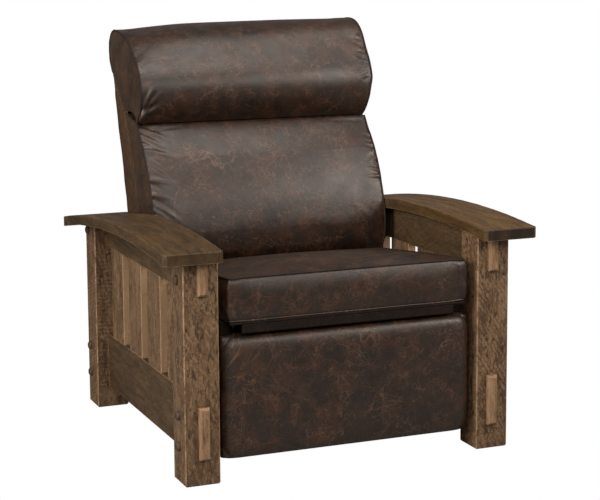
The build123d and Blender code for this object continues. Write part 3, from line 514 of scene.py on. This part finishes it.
for seed, (nodeName, nodeObject) in enumerate(sorted(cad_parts.items())):
    for starts, finish, grain in woodRules:
        if nodeName.startswith(starts):
            plan = {**grainPattern, **dict(zip(woodKeys, woodPlan[finish]))}
            dress(nodeObject, makeWood(nodeName, plan, grain, seed))
    for finish, starts in smoothRules.items():
        if nodeName.startswith(starts):
            dress(nodeObject, smooth[finish])
dress(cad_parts["seat_deck"], deckCloth)
# the front board under the cushion is near black: painted shade
dress(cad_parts["seat_front_board"], hides["paintedShadeHide"])
print("materials made")


# Helpers for the soft pieces
backPlan = {
    "pivot": (0.166, 0.330), "pivotAhead": 0.0895, "lean": 17.8, "cushionHalf": 0.3315, "shellHalf": 0.333,
    # the line where cushion and roll meet the shell, and the two ends of the line where roll rests on cushion
    "shellEdge": ((0.112, 0.092), (0.1054, 0.3345), (0.0946, 0.4315), (0.0724, 0.5226), (0.004, 0.650)),
    "rest": ((0.179, 0.462), (0.087, 0.462)), "crossHalf": 0.33, "crossAhead": 0.181,
}
leanSin = math.sin(math.radians(backPlan["lean"]))
leanCos = math.cos(math.radians(backPlan["lean"]))
backY = backPlan["pivot"][0] + backPlan["pivotAhead"] * leanCos
backZ = backPlan["pivot"][1] - backPlan["pivotAhead"] * leanSin
backFacing = (0, -leanCos, leanSin)


def onBack(x, ahead, along):
    return Vector((x, backY - ahead * leanCos + along * leanSin, backZ + ahead * leanSin + along * leanCos))


def backMeasures(spots):
    # across the back, up along it and ahead of it
    y, z = spots[:, 1] - backY, spots[:, 2] - backZ
    return spots[:, 0], y * leanSin + z * leanCos, -y * leanCos + z * leanSin


def movedOnBack(spots, aside, ahead, along):
    moved = spots.copy()
    moved[:, 0] += aside
    moved[:, 1] += along * leanSin - ahead * leanCos
    moved[:, 2] += ahead * leanSin + along * leanCos
    return moved


def bothSides(line, half):
    return {
        side: [onBack(sign * half, ahead, along) for ahead, along in line]
        for side, sign in (("Left", -1), ("Right", 1))
    }


def crossLine(along):
    return [onBack(sign * backPlan["crossHalf"], backPlan["crossAhead"], along) for sign in (-1, 0, 1)]


def waveAt(first, second, third, pitches):
    return noise.noise((first * pitches[0], second * pitches[1], third * pitches[2]))


def ramp(values, start, span):
    return np.clip((values - start) / span, 0, 1)


def arcThrough(first, middle, last, steps=16):
    # points on the circle through three flat points
    (ax, ay), (bx, by), (cx, cy) = first, middle, last
    twice = 2 * (ax * (by - cy) + bx * (cy - ay) + cx * (ay - by))
    a2, b2, c2 = ax * ax + ay * ay, bx * bx + by * by, cx * cx + cy * cy
    centre = Vector(((a2 * (by - cy) + b2 * (cy - ay) + c2 * (ay - by)) / twice,
                     (a2 * (cx - bx) + b2 * (ax - cx) + c2 * (bx - ax)) / twice))
    angles = [math.atan2(y - centre.y, x - centre.x) for x, y in (first, middle, last)]
    for step in (1, 2):
        while angles[step] - angles[step - 1] > math.pi:
            angles[step] -= math.tau
        while angles[step] - angles[step - 1] < -math.pi:
            angles[step] += math.tau
    radius = math.hypot(ax - centre.x, ay - centre.y)
    turns = [angles[0] + (angles[2] - angles[0]) * step / steps for step in range(steps + 1)]
    return [(centre.x + radius * math.cos(turn), centre.y + radius * math.sin(turn)) for turn in turns]


def link(name, data, body, nodeName=None):
    piece = bpy.data.objects.new(name, data)
    scene.collection.objects.link(piece)
    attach(piece, body)
    if nodeName:
        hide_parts(nodeName)
    return piece


def welded(mesh):
    shape = bmesh.new()
    shape.from_mesh(mesh)
    bmesh.ops.remove_doubles(shape, verts=shape.verts[:], dist=1e-5)
    return shape


def settle(piece):
    # the mesh with its modifiers applied takes the mesh's place
    graph = bpy.context.evaluated_depsgraph_get()
    made = bpy.data.meshes.new_from_object(piece.evaluated_get(graph))
    piece.modifiers.clear()
    piece.data = made


def read(items, measure):
    values = np.empty(len(items) * 3, np.float32)
    items.foreach_get(measure, values)
    return values.reshape(-1, 3)


def putPlaces(mesh, spots):
    mesh.vertices.foreach_set("co", np.ascontiguousarray(spots, np.float32).ravel())
    mesh.update()


def evenly(route, pitch, closed):
    # points at an even pitch along a route
    stops = list(route) + ([route[0]] if closed else [])
    made = []
    for first, last in zip(stops, stops[1:]):
        count = max(1, round((last - first).length / pitch))
        made += [first.lerp(last, step / count) for step in range(count)]
    return made if closed else made + [stops[-1]]


# A cushion starts as an evenly meshed copy of its solid, drawn in a little between its seams, and is
# filled by pressure: seams stay pinned and no point moves farther than the cushion's cap
fillPlan = {
    "voxel": 0.0065, "inset": 0.006, "evened": 0, "seamPitch": 0.004, "held": 0.012, "pinned": 0.008,
    "pressure": 4, "quality": 5, "mass": 0.35, "stretch": 12, "bending": 1.5, "frames": 20,
}


def padFromNode(nodeName, pieceName, plan, seams, closed):
    plan = {**fillPlan, **plan}
    mesh = meshFrom(welded(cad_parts[nodeName].data), pieceName)
    pad = link(pieceName, mesh, plan["body"], nodeName)
    remesh = pad.modifiers.new("even", "REMESH")
    remesh.mode = "VOXEL"
    remesh.voxel_size = plan["voxel"]
    settle(pad)
    stops = [spot for seam in seams for spot in evenly(seam, plan["seamPitch"], closed)]
    pins = KDTree(len(stops))
    for index, spot in enumerate(stops):
        pins.insert(spot, index)
    pins.balance()
    reach = np.array([pins.find(vertex.co)[2] for vertex in pad.data.vertices])
    rounding = bmesh.new()
    rounding.from_mesh(pad.data)
    free = [vert for vert, gap in zip(rounding.verts, reach) if gap > plan["held"]]
    for step in range(plan["evened"]):
        bmesh.ops.smooth_vert(
            rounding, verts=free, factor=0.5, use_axis_x=True, use_axis_y=True, use_axis_z=True,
        )
    rounding.to_mesh(pad.data)
    rounding.free()
    start = read(pad.data.vertices, "co")
    # the panels start a little inside the seams, and then swell out between them
    inset = plan["inset"] * ramp(reach, 0, plan["seamReach"])
    start = start - read(pad.data.vertices, "normal") * inset[:, None]
    putPlaces(pad.data, start)
    if plan["pressure"]:
        seamGroup = pad.vertex_groups.new(name="seam")
        for index in np.nonzero(reach < plan["pinned"])[0]:
            seamGroup.add([int(index)], 1, "REPLACE")
        cloth = pad.modifiers.new("fill", "CLOTH").settings
        cloth.quality = plan["quality"]
        cloth.mass = plan["mass"]
        cloth.tension_stiffness = cloth.compression_stiffness = cloth.shear_stiffness = plan["stretch"]
        cloth.bending_stiffness = plan["bending"]
        cloth.use_pressure = True
        cloth.uniform_pressure_force = plan["pressure"]
        cloth.effector_weights.gravity = 0
        cloth.vertex_group_mass = "seam"
        for step in range(1, plan["frames"] + 1):
            scene.frame_set(step)
        settle(pad)
        scene.frame_set(1)
        shift = read(pad.data.vertices, "co") - start
        far = np.linalg.norm(shift, axis=1)
        cap = np.minimum(1, plan["cap"] / np.maximum(far, 1e-6))
        putPlaces(pad.data, start + shift * cap[:, None])
        print(pieceName, "swelled by up to", round(float(far.max()) * 1000, 1), "mm")
    smoother = pad.modifiers.new("finer", "SUBSURF")
    smoother.levels = smoother.render_levels = 1
    settle(pad)
    pad.vertex_groups.clear()
    smoothFaces(pad.data)
    dress(pad, hides["hide"])
    return pad


# A fold is a ridge with a hollow beside it, which bends and fades along its run
foldPlan = {"facing": 2.5, "bend": 1.5, "fade": 1.3, "hollow": 0.5, "hollowAside": 1.5, "hollowWidth": 1.1}
# folds listed one by one: across, along, pitch, width, height, then the angle and length of each
steppedRows = {
    "seatLeft": (-0.312, 0.396, 0.009, 0.006, 0.0015, ((12, 0.075), (23, 0.11), (34, 0.08), (45, 0.05))),
    "seatRight": (0.312, 0.396, 0.009, 0.006, 0.0015, ((168, 0.075), (157, 0.11), (146, 0.08), (135, 0.05))),
    "rollCorner": (-0.328, 0.470, 0.004, 0.006, 0.0042, ((38, 0.075), (55, 0.09), (72, 0.10), (20, 0.06))),
}
# folds drawn at random, where a pair of values is a range to draw from:
# count, across, along, pitch, stray, turn, lean, length, width, height
drawnRows = {
    "backLeft": (
        13, -0.333, 0.452, -0.021, (-0.005, 0.005), 0, (-34, -8),
        (0.05, 0.11), (0.005, 0.009), (0.002, 0.0042),
    ),
    "backRight": (
        8, 0.333, 0.40, -0.018, (-0.004, 0.004), 180, (-25, 30),
        (0.025, 0.05), (0.004, 0.006), (0.0015, 0.0028),
    ),
    "rollEnd": (7, 0.331, 0.56, 0.020, 0, 180, (-35, 35), (0.02, 0.04), 0.005, (0.0015, 0.0026)),
}
foldRandom = random.Random(11)


def steppedFolds(row):
    across, start, pitch, width, height, turns = steppedRows[row]
    return [(across, start + pitch * step, *turn, width, height) for step, turn in enumerate(turns)]


def pick(value):
    return foldRandom.uniform(*value) if isinstance(value, tuple) else value


def drawnFolds(row):
    count, across, start, pitch, stray, turn, lean, *sizes = drawnRows[row]
    return [
        (across, start + pitch * step + pick(stray), turn + pick(lean), *(pick(size) for size in sizes))
        for step in range(count)
    ]


def pressFolds(pad, folds, measures, facing):
    # each fold: start across and along, angle, length, width, height
    spots, outward = read(pad.data.vertices, "co"), read(pad.data.vertices, "normal")
    across, along = measures(spots)[:2]
    shown = np.clip((outward @ np.array(facing)) * foldPlan["facing"], 0, 1)
    rise = np.zeros(len(spots))
    for startAcross, startAlong, angle, length, width, height in folds:
        turn = math.radians(angle)
        shiftAcross, shiftAlong = across - startAcross, along - startAlong
        run = shiftAcross * math.cos(turn) + shiftAlong * math.sin(turn)
        aside = -shiftAcross * math.sin(turn) + shiftAlong * math.cos(turn) + foldPlan["bend"] * run * run
        share = ramp(run, 0, length)
        within = (run > -width) & (run < length)
        fade = np.where(within, np.maximum(np.cos(share * math.pi / 2), 0) ** foldPlan["fade"], 0)
        fade *= np.clip(1 + run / width, 0, 1)
        beside = (aside - foldPlan["hollowAside"] * width) / (foldPlan["hollowWidth"] * width)
        ridge = np.exp(-((aside / width) ** 2)) - foldPlan["hollow"] * np.exp(-(beside ** 2))
        rise += height * fade * ridge
    putPlaces(pad.data, spots + outward * (rise * shown)[:, None])


def boxedIn(pad, sideFacing=0.8):
    # faces that look sideways, the boxing at the sides, get a lighter and warmer copy of the hide
    pad.data.materials.append(hides["sideHide"])
    sideways = np.abs(read(pad.data.polygons, "normal")[:, 0]) > sideFacing
    pad.data.polygons.foreach_set("material_index", sideways.astype(np.int32))


# Welts: a round cord under hide, laid along a seam
weltPlan = {
    "radius": 0.0026, "pitch": 0.012, "lift": 0.0012, "lowLift": 0.001, "evened": 2, "seamPitch": 0.008,
}


def weltOn(pieceName, pad, route, body, closed, lift=weltPlan["lift"], finish="weltHide"):
    ground = BVHTree.FromObject(pad, bpy.context.evaluated_depsgraph_get())
    stops = []
    for spot in evenly(route, weltPlan["pitch"], closed):
        nearest, outward = ground.find_nearest(spot)[:2]
        stops.append(nearest + outward * lift)
    for step in range(weltPlan["evened"]):
        inner = [(before + 2 * stop + after) / 4 for before, stop, after in zip(stops, stops[1:], stops[2:])]
        ends = [(stops[-1] + 2 * stops[0] + stops[1]) / 4, (stops[-2] + 2 * stops[-1] + stops[0]) / 4]
        stops = [ends[0] if closed else stops[0], *inner, ends[1] if closed else stops[-1]]
    curve = bpy.data.curves.new(pieceName, "CURVE")
    curve.dimensions = "3D"
    curve.bevel_depth = weltPlan["radius"]
    curve.bevel_resolution = 3
    curve.use_fill_caps = not closed
    spline = curve.splines.new("POLY")
    spline.points.add(len(stops) - 1)
    for point, stop in zip(spline.points, stops):
        point.co = (*stop, 1)
    spline.use_cyclic_u = closed
    rope = bpy.data.objects.new(pieceName + "Line", curve)
    scene.collection.objects.link(rope)
    mesh = bpy.data.meshes.new_from_object(rope.evaluated_get(bpy.context.evaluated_depsgraph_get()))
    bpy.data.objects.remove(rope)
    smoothFaces(mesh)
    dress(link(pieceName, mesh, body), hides[finish])


def sideWelts(start, pad, seams, changed):
    # a welt along each side seam, which takes the same change of shape as its pad
    for side, seam in seams.items():
        route = changed(np.array([tuple(spot) for spot in evenly(seam, weltPlan["seamPitch"], False)]))
        weltOn(start + side, pad, [Vector(spot) for spot in route], "back", False)


# Seat cushion: boxed, with a welt round its top and another round its bottom
seatPlan = {
    "body": "seat", "seamReach": 0.05, "cap": 0.014, "fill": 0.8,
    "halfWidth": 0.3155, "front": -0.4405, "back": 0.0635, "top": 0.4945, "bottom": 0.3872, "fall": 0.054,
    "corner": 0.012, "cornerSteps": 5, "sideSwell": 0.008, "sideFrom": 0.29,
    "frontSwell": 0.008, "frontFrom": 0.405, "frontFade": 0.03,
}


def seatSeam(height):
    # a rounded rectangle at one height
    corner, steps = seatPlan["corner"], seatPlan["cornerSteps"]
    made = []
    for sideX, sideY, firstTurn in ((1, -1, -90), (1, 1, 0), (-1, 1, 90), (-1, -1, 180)):
        centreX = sideX * (seatPlan["halfWidth"] - corner)
        centreY = (seatPlan["front"] + corner) if sideY < 0 else (seatPlan["back"] - corner)
        for step in range(steps + 1):
            turn = math.radians(firstTurn + 90 * step / steps)
            made.append((centreX + corner * math.cos(turn), centreY + corner * math.sin(turn), height))
    return [Vector(spot) for spot in made]


def seatFall(y):
    return seatPlan["fall"] * (y - seatPlan["front"]) / (seatPlan["back"] - seatPlan["front"])


seatTop = seatSeam(seatPlan["top"])
for spot in seatTop:
    spot.z -= seatFall(spot.y)
seatBottom = seatSeam(seatPlan["bottom"])
seatCushion = padFromNode("seat_cushion", "seatCushion", seatPlan, [seatTop, seatBottom], True)
spots = read(seatCushion.data.vertices, "co")
topAt = seatPlan["top"] - seatFall(spots[:, 1])
swell = 1 - (2 * ramp(spots[:, 2], seatPlan["bottom"], topAt - seatPlan["bottom"]) - 1) ** 2
atSide = np.abs(spots[:, 0]) > seatPlan["sideFrom"]
spots[:, 0] += np.sign(spots[:, 0]) * seatPlan["sideSwell"] * swell * atSide
atFront = ramp(-spots[:, 1], seatPlan["frontFrom"], seatPlan["frontFade"])
spots[:, 1] -= seatPlan["frontSwell"] * swell * atFront
putPlaces(seatCushion.data, spots)
seatFolds = steppedFolds("seatLeft") + steppedFolds("seatRight")
pressFolds(seatCushion, seatFolds, lambda spots: (spots[:, 0], spots[:, 2]), (0, -1, 0))
weltOn("seatTopWelt", seatCushion, seatTop, "seat", True)
weltOn("seatBottomWelt", seatCushion, seatBottom, "seat", True, weltPlan["lowLift"], "hide")
print("seat cushion made")

# Back cushion: boxed sides with a welt, stretched over the springs, folds drawn in at the welts
lumbarPlan = {
    "body": "back", "seamReach": 0.06, "cap": 0.016, "fill": 0.75, "evened": 10, "topSeam": 0.460,
    "low": (0.201, 0.060), "middle": (0.2245, 0.235), "upper": (0.187, 0.420), "top": (0.179, 0.461),
    # how far the lower end rolls under, the middle stands proud and the right side swells,
    # and where and over what length each of these sets in
    "roll": 0.024, "rollAlong": (0.175, 0.12), "rollAhead": (0.10, 0.10),
    "proud": 0.008, "proudLow": (0.05, 0.1), "proudHigh": (0.46, 0.1), "proudAhead": (0.12, 0.06),
    "aside": 0.008, "asideAcross": (0.1, 0.22), "asideAlong": (0.04, 0.08), "asideAhead": (0.09, 0.05),
}
lumbarLine = arcThrough(lumbarPlan["low"], lumbarPlan["middle"], lumbarPlan["upper"]) + [lumbarPlan["top"]]
lumbarSeams = bothSides(lumbarLine, backPlan["cushionHalf"])
shellSeams = bothSides(backPlan["shellEdge"], backPlan["shellHalf"])
restSeams = bothSides(backPlan["rest"], backPlan["cushionHalf"])
sharedSeams = [*shellSeams.values(), *restSeams.values()]
backCushion = padFromNode(
    "back_cushion", "backCushion", lumbarPlan,
    [*lumbarSeams.values(), crossLine(lumbarPlan["topSeam"]), *sharedSeams], False,
)


def rolledUnder(spots):
    plan, (across, along, ahead) = lumbarPlan, backMeasures(spots)
    rollStart, rollSpan = plan["rollAlong"]
    proudTop, proudSpan = plan["proudHigh"]
    draw = plan["roll"] * ramp(rollStart - along, 0, rollSpan) ** 2 * ramp(ahead, *plan["rollAhead"])
    bell = ramp(along, *plan["proudLow"]) * ramp(proudTop - along, 0, proudSpan)
    draw = draw - plan["proud"] * bell * ramp(ahead, *plan["proudAhead"])
    high = ramp(along, *plan["asideAlong"]) * ramp(ahead, *plan["asideAhead"])
    aside = plan["aside"] * ramp(across, *plan["asideAcross"]) ** 2 * high
    return movedOnBack(spots, aside, -draw, 0)


pressFolds(backCushion, drawnFolds("backLeft") + drawnFolds("backRight"), backMeasures, backFacing)
putPlaces(backCushion.data, rolledUnder(read(backCushion.data.vertices, "co")))
sideWelts("backWelt", backCushion, lumbarSeams, rolledUnder)
boxedIn(backCushion)
print("back cushion made")

# Headrest: a full roll with welted ends, stuffed fuller above its front and most of all towards its right
rollPlan = {
    "body": "back", "seamReach": 0.05, "cap": 0.015, "fill": 0.9, "evened": 22, "underSeam": 0.4625,
    "rearSteps": 10,
    "nose": (0.179, 0.4625), "front": (0.2445, 0.548), "brow": (0.2085, 0.637), "rise": (0.1455, 0.7025),
    "top": (0.062, 0.7545), "rear": (0.0045, 0.7415), "nape": (-0.0125, 0.688), "under": (0.0, 0.652),
}
fullPlan = {
    "centre": (0.120, 0.600), "turn": 66, "spread": 46, "middle": 0.027, "right": 0.053, "aside": 0.016,
    "rightAcross": (-0.02, 0.353), "rightPower": 1.4, "leftAcross": (0.12, 0.213), "leftLoss": 0.6,
    "asidePower": 3, "asideAlong": (0.465, 0.09), "least": 0.02,
}
rollLine = arcThrough(rollPlan["nose"], rollPlan["front"], rollPlan["brow"])[:-1]
rollLine += arcThrough(rollPlan["brow"], rollPlan["rise"], rollPlan["top"])[:-1]
rollLine += arcThrough(rollPlan["top"], rollPlan["rear"], rollPlan["nape"], rollPlan["rearSteps"])
rollLine.append(rollPlan["under"])
rollSeams = bothSides(rollLine, backPlan["cushionHalf"])
headRoll = padFromNode(
    "headrest", "headRoll", rollPlan,
    [*rollSeams.values(), crossLine(rollPlan["underSeam"]), *sharedSeams], False,
)


def fuller(spots):
    plan, (across, along, ahead) = fullPlan, backMeasures(spots)
    outAhead, outAlong = ahead - plan["centre"][0], along - plan["centre"][1]
    turns = np.degrees(np.arctan2(outAlong, outAhead))
    nearTop = np.exp(-(((turns - plan["turn"]) / plan["spread"]) ** 2))
    rightShare = ramp(across, *plan["rightAcross"]) ** plan["rightPower"]
    ends = 1 - plan["leftLoss"] * ramp(-across, *plan["leftAcross"]) ** 2
    reach = (plan["middle"] * ends + (plan["right"] - plan["middle"]) * rightShare) * nearTop
    unit = np.maximum(np.hypot(outAhead, outAlong), plan["least"])
    aside = plan["aside"] * rightShare ** plan["asidePower"] * ramp(along, *plan["asideAlong"])
    return movedOnBack(spots, aside, reach * outAhead / unit, reach * outAlong / unit)


putPlaces(headRoll.data, fuller(read(headRoll.data.vertices, "co")))
rollFolds = steppedFolds("rollCorner") + drawnFolds("rollEnd")
pressFolds(headRoll, rollFolds, backMeasures, backFacing)
sideWelts("headWelt", headRoll, rollSeams, fuller)
boxedIn(headRoll)
print("headrest made")

# Footrest pad: one plain stretched panel over foam, stapled behind its board and shaped without pressure
footPlan = {
    "body": "footrest", "voxel": 0.006, "inset": 0.001, "seamReach": 0.03, "evened": 4, "pressure": 0,
    "fill": 0.6,
    "halfWidth": 0.325, "low": 0.063, "high": 0.353, "back": -0.407,
    "border": 0.044, "softness": 0.017, "roundness": 0.97, "frontFade": 0.03,
    "wider": 0.018, "thicker": 1.3, "drop": 0.015,
    "backHalf": 0.3265, "backDepth": 0.0125, "backLow": 0.066, "backHigh": 0.350,
}
footEdge = [
    Vector((side * footPlan["halfWidth"], footPlan["back"], footPlan[height]))
    for side, height in ((-1, "low"), (1, "low"), (1, "high"), (-1, "high"))
]
footPad = padFromNode("footrest_pad", "footPad", footPlan, [footEdge], True)
spots = read(footPad.data.vertices, "co")
toSide = footPlan["halfWidth"] - np.abs(spots[:, 0])
toEnd = np.minimum(spots[:, 2] - footPlan["low"], footPlan["high"] - spots[:, 2])
near = np.clip(np.hypot(*(1 - ramp(gap, 0, footPlan["border"]) for gap in (toSide, toEnd))), 0, 1)
drawnIn = footPlan["softness"] * (1 - np.sqrt(1 - (footPlan["roundness"] * near) ** 2))
spots[:, 1] += drawnIn * ramp(footPlan["back"] - spots[:, 1], 0, footPlan["frontFade"])
spots[:, 0] *= 1 + footPlan["wider"]
spots[:, 1] = footPlan["back"] + (spots[:, 1] - footPlan["back"]) * footPlan["thicker"]
spots[:, 2] -= footPlan["drop"] * ramp(footPlan["high"] - spots[:, 2], 0, footPlan["high"] - footPlan["low"])
putPlaces(footPad.data, spots)

# Boards and rails under tight leather
boardPlan = {"cuts": 8, "bend": 1, "round": 0.003, "segments": 3}


def wrappedBoard(pieceName, nodeName, body, low, high, finish):
    shape = bmesh.new()
    bmesh.ops.create_cube(shape, size=1)
    bmesh.ops.scale(shape, verts=shape.verts, vec=Vector(high) - Vector(low))
    bmesh.ops.translate(shape, verts=shape.verts, vec=(Vector(high) + Vector(low)) / 2)
    bmesh.ops.subdivide_edges(shape, edges=shape.edges[:], cuts=boardPlan["cuts"], use_grid_fill=True)
    bmesh.ops.bevel(
        shape, geom=[edge for edge in shape.edges if edge.calc_face_angle(0) > boardPlan["bend"]],
        offset=boardPlan["round"], affect="EDGES", segments=boardPlan["segments"], profile=0.5, material=-1,
    )
    dress(link(pieceName, meshFrom(shape, pieceName), body, nodeName), hides[finish])


wrappedBoard(
    "footBack", "footrest_board", "footrest", (-footPlan["backHalf"], footPlan["back"], footPlan["backLow"]),
    (footPlan["backHalf"], footPlan["back"] + footPlan["backDepth"], footPlan["backHigh"]), "weltHide",
)
print("footrest pad made")

# Leather-covered edge of the seat's frame, in the dark band under the cushion, in a near-black hide that is
# painted shade
apronPlan = {"low": (-0.282, -0.442, 0.357), "high": (0.282, -0.430, 0.380)}
wrappedBoard("seatApron", "seat_apron", "seat", apronPlan["low"], apronPlan["high"], "paintedShadeHide")

# Cloth stapled to the seat's rear rail, which closes the slit in front of the back cushion
tuckPlan = {
    "half": 0.27, "front": 0.090, "back": 0.166, "high": 0.3785, "fall": 0.007, "sag": 0.003, "thick": 0.0015,
    "columns": 54, "rows": 14, "ripple": (16, 2, 5),
}
tuck = bmesh.new()
bmesh.ops.create_grid(tuck, x_segments=tuckPlan["columns"], y_segments=tuckPlan["rows"], size=0.5)
for vert in tuck.verts:
    share = vert.co.y + 0.5
    x = 2 * tuckPlan["half"] * vert.co.x
    ripple = tuckPlan["sag"] * waveAt(x, share, 1, tuckPlan["ripple"]) * share
    y = tuckPlan["front"] + (tuckPlan["back"] - tuckPlan["front"]) * share
    vert.co = (x, y, tuckPlan["high"] - tuckPlan["fall"] * share ** 2 + ripple)
bmesh.ops.solidify(tuck, geom=tuck.faces[:], thickness=tuckPlan["thick"])
bmesh.ops.recalc_face_normals(tuck, faces=tuck.faces[:])
tuckCloth = link("tuckCloth", meshFrom(tuck, "tuckCloth"), "seat")
smoothFaces(tuckCloth.data)
dress(tuckCloth, deckCloth)
print("tuck cloth made")

# Leather shell of the back: padded sides and rear panel, welted along both rear corners
shellPlan = {
    "corner": 0.010, "skin": 0.0025, "rows": 70, "sideSteps": 14, "rearSteps": 50, "cornerSteps": 5,
    "sideSwell": 0.0035, "rearSwell": 0.008, "tallPower": 0.5, "rearPower": 0.6, "leastDepthShare": 0.8,
    "slack": 0.0022, "sideSlack": 0.0011, "sideFold": (34, 5, 3), "rearFold": (9, 2.4, 7), "foldFade": 3,
    # how far the front edges are tucked in behind the cushion's boxing, and reach forward there
    "tucks": ((0.006, 0.014), (0.0045, 0.006)),
    "sharp": 50, "weltInset": 0.3, "weltTop": 0.60,
}
shellDepths, shellHeights = zip(*backPlan["shellEdge"])
shellHalf = backPlan["shellHalf"]


def shellRow(along):
    # one U-shaped row, from the left front edge round the rear to the right front edge
    plan = shellPlan
    depth = float(np.interp(along, shellHeights, shellDepths))
    corner = min(plan["corner"], plan["leastDepthShare"] * depth)
    share = (along - shellHeights[0]) / (shellHeights[-1] - shellHeights[0])
    tall = math.sin(math.pi * min(max(share, 0), 1)) ** plan["tallPower"]
    fade = plan["foldFade"]
    sides = []
    for sign in (-1, 1):
        part = [(sign * (shellHalf - tuckIn), depth + reach) for tuckIn, reach in plan["tucks"]]
        for step in range(plan["sideSteps"]):
            ahead = depth + (corner - depth) * step / plan["sideSteps"]
            puff = plan["sideSwell"] * math.sin(math.pi * (depth - ahead) / max(depth - corner, 1e-4)) * tall
            fold = plan["sideSlack"] * waveAt(ahead, along, sign, plan["sideFold"]) * tall
            fold *= min(1, step / fade) * min(1, (plan["sideSteps"] - step) / fade)
            part.append((sign * (shellHalf + puff + fold), ahead))
        for step in range(plan["cornerSteps"] + 1):
            turn = math.pi / 2 * step / plan["cornerSteps"]
            x = sign * (shellHalf - corner + corner * math.cos(turn))
            part.append((x, corner - corner * math.sin(turn)))
        sides.append(part)
    wide = shellHalf - corner
    rear = []
    for step in range(1, plan["rearSteps"]):
        x = -wide + 2 * wide * step / plan["rearSteps"]
        edge = math.sin(math.pi * step / plan["rearSteps"])
        puff = plan["rearSwell"] * edge ** plan["rearPower"] * tall
        fold = plan["slack"] * waveAt(x, along, 1, plan["rearFold"]) * min(1, edge * fade) * tall
        rear.append((x, -puff - fold))
    return sides[0] + rear + sides[1][::-1]


shell = bmesh.new()
rowsOfVerts = []
for step in range(shellPlan["rows"] + 1):
    along = shellHeights[0] + (shellHeights[-1] - shellHeights[0]) * step / shellPlan["rows"]
    rowsOfVerts.append([shell.verts.new(onBack(x, ahead, along)) for x, ahead in shellRow(along)])
for lower, upper in zip(rowsOfVerts, rowsOfVerts[1:]):
    for index in range(len(lower) - 1):
        shell.faces.new((lower[index + 1], lower[index], upper[index], upper[index + 1]))
bmesh.ops.solidify(shell, geom=shell.faces[:], thickness=shellPlan["skin"])
bmesh.ops.recalc_face_normals(shell, faces=shell.faces[:])
backShell = link("backShell", meshFrom(shell, "backShell"), "back", "back_shell")
smoothFaces(backShell.data, shellPlan["sharp"])
dress(backShell, hides["shellHide"])
weltInset = shellPlan["weltInset"] * shellPlan["corner"]
weltLine = [(weltInset, along) for along in (shellHeights[0], shellPlan["weltTop"])]
for side, route in bothSides(weltLine, shellHalf - weltInset).items():
    weltOn("shellWelt" + side, backShell, route, "back", False, weltPlan["lowLift"])
print("back shell made")

# Arms: long edges hewn a little uneven, the outer lower one most
armPlan = {
    "outer": 0.490, "inner": 0.343, "reach": 0.010, "pitch": 0.011, "gap": 0.012, "fade": 0.03,
    "wander": 0.0024, "innerWander": 0.5, "lift": 0.0045, "under": -0.2, "sharp": 7,
    # waves along an edge: pitches and share of each
    "wanderWaves": (((11, 5, 2), 1), ((37, 5, 9), 0.6)), "notchWaves": (((14, 8, 4), 1), ((45, 8, 6), 0.5)),
}


def edgeWaves(y, sign, waves):
    return sum(share * waveAt(y, sign, 1, pitches) for pitches, share in waves)


def hewnArm(nodeName, pieceName, sign):
    gap = armPlan["gap"]
    shape = welded(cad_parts[nodeName].data)
    depths = [vert.co.y for vert in shape.verts]
    start, end = min(depths) + gap, max(depths) - gap
    count = round((end - start) / armPlan["pitch"])
    for step in range(count + 1):
        cut = (0, start + (end - start) * step / count, 0)
        whole = shape.verts[:] + shape.edges[:] + shape.faces[:]
        bmesh.ops.bisect_plane(shape, geom=whole, plane_co=cut, plane_no=(0, 1, 0))
    shape.normal_update()
    outerLimit, innerLimit = armPlan["outer"] - armPlan["reach"], armPlan["inner"] + armPlan["reach"]
    moves = []
    for vert in shape.verts:
        across, y = abs(vert.co.x), vert.co.y
        ends = min(1, (y - start + gap) / armPlan["fade"], (end + gap - y) / armPlan["fade"])
        wander = armPlan["wander"] * abs(edgeWaves(y, sign, armPlan["wanderWaves"])) * sign * ends
        if across > outerLimit:
            notched = vert.normal.z < armPlan["under"]
            notch = max(0, edgeWaves(y, sign, armPlan["notchWaves"])) if notched else 0
            moves.append((vert, -wander, armPlan["lift"] * notch * ends))
        elif across < innerLimit:
            moves.append((vert, armPlan["innerWander"] * wander, 0))
    for vert, shiftX, shiftZ in moves:
        vert.co.x += shiftX
        vert.co.z += shiftZ
    bmesh.ops.triangulate(shape, faces=shape.faces[:])
    bmesh.ops.recalc_face_normals(shape, faces=shape.faces[:])
    piece = link(pieceName, meshFrom(shape, pieceName), "frame", nodeName)
    smoothFaces(piece.data, armPlan["sharp"])
    dress(piece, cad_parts[nodeName].data.materials[0])


hewnArm("arm_left", "armLeft", -1)
hewnArm("arm_right", "armRight", 1)
print("arms made")
